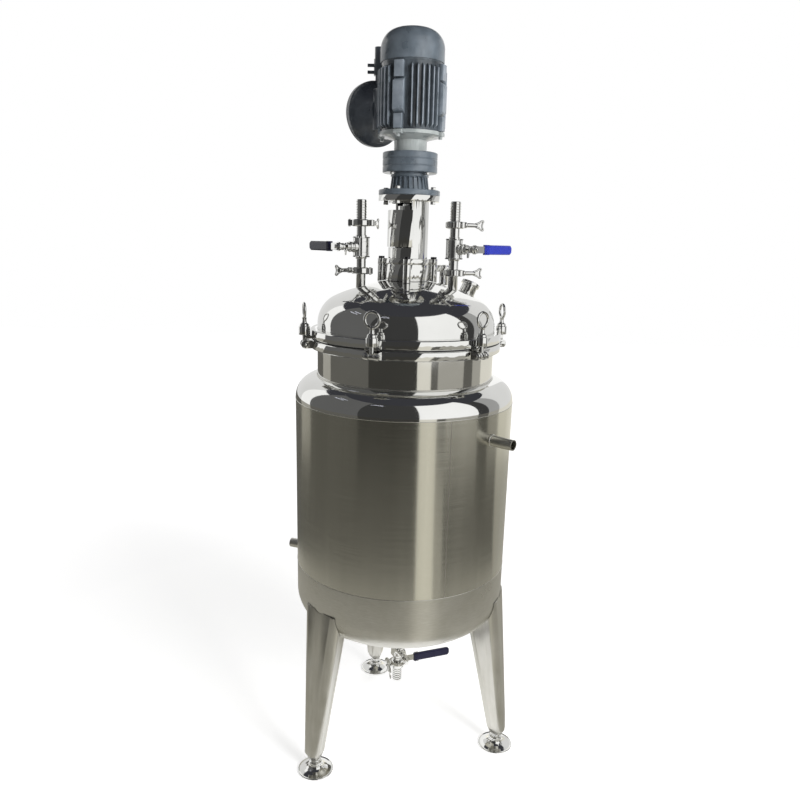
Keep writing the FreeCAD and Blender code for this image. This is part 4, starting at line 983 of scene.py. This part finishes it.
def seen_or_mirrored(tree):
    """One where the ray comes from the camera, a mirror or through glass."""
    path = tree.nodes.new("ShaderNodeLightPath")
    result = path.outputs["Is Camera Ray"]
    for name in ("Is Glossy Ray", "Is Transmission Ray"):
        larger = tree.nodes.new("ShaderNodeMath")
        larger.operation = "MAXIMUM"
        tree.links.new(result, larger.inputs[0])
        tree.links.new(path.outputs[name], larger.inputs[1])
        result = larger.outputs[0]
    return result


def make_world():
    world = bpy.data.worlds.new("studio")
    bpy.context.scene.world = world
    world.use_nodes = True
    tree = world.node_tree
    background = tree.nodes["Background"]
    background.inputs["Color"].default_value = (1, 1, 1, 1)
    level = tree.nodes.new("ShaderNodeMapRange")
    level.inputs["To Min"].default_value = WORLD_LEVEL
    level.inputs["To Max"].default_value = 1.0
    tree.links.new(seen_or_mirrored(tree), level.inputs["Value"])
    tree.links.new(level.outputs[0], background.inputs["Strength"])


def stage_object(name, shape, material):
    mesh = bpy.data.meshes.new(name)
    shape.to_mesh(mesh)
    shape.free()
    mesh.materials.append(material)
    item = bpy.data.objects.new(name, mesh)
    bpy.context.scene.collection.objects.link(item)
    return item


def make_floor():
    """A white floor that glows a little for the camera, so it meets the background and keeps the shadow."""
    material = bpy.data.materials.new("floor_white")
    material.use_nodes = True
    tree = material.node_tree
    shader = tree.nodes["Principled BSDF"]
    shader.inputs["Base Color"].default_value = (0.9, 0.9, 0.9, 1)
    shader.inputs["Roughness"].default_value = 0.8
    glow = tree.nodes.new("ShaderNodeEmission")
    place = tree.nodes.new("ShaderNodeTexCoord")
    distance = tree.nodes.new("ShaderNodeVectorMath")
    distance.operation = "LENGTH"
    tree.links.new(place.outputs["Object"], distance.inputs[0])
    fade = tree.nodes.new("ShaderNodeMapRange")
    fade.interpolation_type = "SMOOTHSTEP"
    limits = {"From Min": FADE_START, "From Max": FADE_END, "To Min": FLOOR_GLOW, "To Max": FAR_GLOW}
    for socket, number in limits.items():
        fade.inputs[socket].default_value = number
    tree.links.new(distance.outputs["Value"], fade.inputs["Value"])
    level = tree.nodes.new("ShaderNodeMath")
    level.operation = "MULTIPLY"
    tree.links.new(fade.outputs[0], level.inputs[1])
    tree.links.new(seen_or_mirrored(tree), level.inputs[0])
    tree.links.new(level.outputs[0], glow.inputs["Strength"])
    both = tree.nodes.new("ShaderNodeAddShader")
    tree.links.new(shader.outputs[0], both.inputs[0])
    tree.links.new(glow.outputs[0], both.inputs[1])
    tree.links.new(both.outputs[0], tree.nodes["Material Output"].inputs["Surface"])
    shape = bmesh.new()
    corners = ((-1, -1), (1, -1), (1, 1), (-1, 1))
    shape.faces.new([shape.verts.new((x * FLOOR_HALF, y * FLOOR_HALF, 0)) for x, y in corners])
    stage_object("floor", shape, material)


def make_lamp(name, place, aim, size, power):
    data = bpy.data.lights.new(name, "AREA")
    data.shape = "RECTANGLE"
    data.size, data.size_y = size
    data.energy = power
    lamp = bpy.data.objects.new(name, data)
    bpy.context.scene.collection.objects.link(lamp)
    lamp.location = place
    lamp.rotation_euler = (Vector(aim) - Vector(place)).to_track_quat("-Z", "Y").to_euler()
    lamp.visible_glossy = False


def add_card(shape, start, end, inner, outer, level, tint, step=6.0):
    """Faces between two rings, each with its radius and height, over a range of directions."""
    layer = shape.loops.layers.float_color["glow"]
    count = max(1, round((end - start) / step))
    for number in range(count):
        angles = [FRONT + start + (end - start) * (number + part) / count for part in (0, 1)]
        corners = [(*polar(inner[0], angle), inner[1]) for angle in angles]
        corners += [(*polar(outer[0], angle), outer[1]) for angle in reversed(angles)]
        face = shape.faces.new([shape.verts.new(corner) for corner in corners])
        for loop in face.loops:
            loop[layer] = (*(level * part for part in tint), 1)


def make_cards():
    shape = bmesh.new()
    shape.loops.layers.float_color.new("glow")
    foot, sill, ceiling = (CARD_REACH, CARD_LIFT), (CARD_REACH, SILL), (CARD_REACH, CEILING)
    near, start_ring = (NEAR_FLOOR, CARD_LIFT), (FLOOR_START, CARD_LIFT)
    for start, end, tall, upper, lower, floor_level in CARDS:
        top = ceiling if tall else (CARD_REACH, CARD_TOP)
        add_card(shape, start, end, foot, sill, lower, WARM)
        add_card(shape, start, end, sill, top, upper, PLAIN)
        add_card(shape, start, end, near, foot, floor_level, WARM)
        add_card(shape, start, end, start_ring, near, max(NEAR_LEVEL, floor_level), WARM)
        if not tall:
            add_card(shape, start, end, top, ceiling, DARK_GREY, COOL)
    add_card(shape, -180, 180, (CARD_LIFT, CEILING), ceiling, DARK_GREY, COOL)
    for start, end, height in STRIPS:
        reach = CARD_REACH - CARD_LIFT
        add_card(shape, start, end, (reach, height), (reach, height + STRIP_HEIGHT), WHITE, COOL)
    material = bpy.data.materials.new("card_grey")
    material.use_nodes = True
    tree = material.node_tree
    tree.nodes.remove(tree.nodes["Principled BSDF"])
    glow = tree.nodes.new("ShaderNodeEmission")
    colour = tree.nodes.new("ShaderNodeVertexColor")
    colour.layer_name = "glow"
    tree.links.new(colour.outputs["Color"], glow.inputs["Color"])
    tree.links.new(glow.outputs[0], tree.nodes["Material Output"].inputs["Surface"])
    cards = stage_object("cards", shape, material)
    cards.visible_camera = False
    cards.visible_diffuse = False
    cards.visible_shadow = False
    cards.visible_transmission = False


make_world()
make_floor()
make_lamp("key_lamp", (2.3, -2.5, 2.0), (0, 0, 1.3), (1.4, 2.0), 120)
make_lamp("fill_lamp", (-2.6, -2.4, 2.4), (0, 0, 1.0), (1.6, 1.6), 6)
make_lamp("back_lamp", (0.6, 3.0, 2.6), (0, 0, 1.2), (2.0, 1.2), 30)
make_cards()
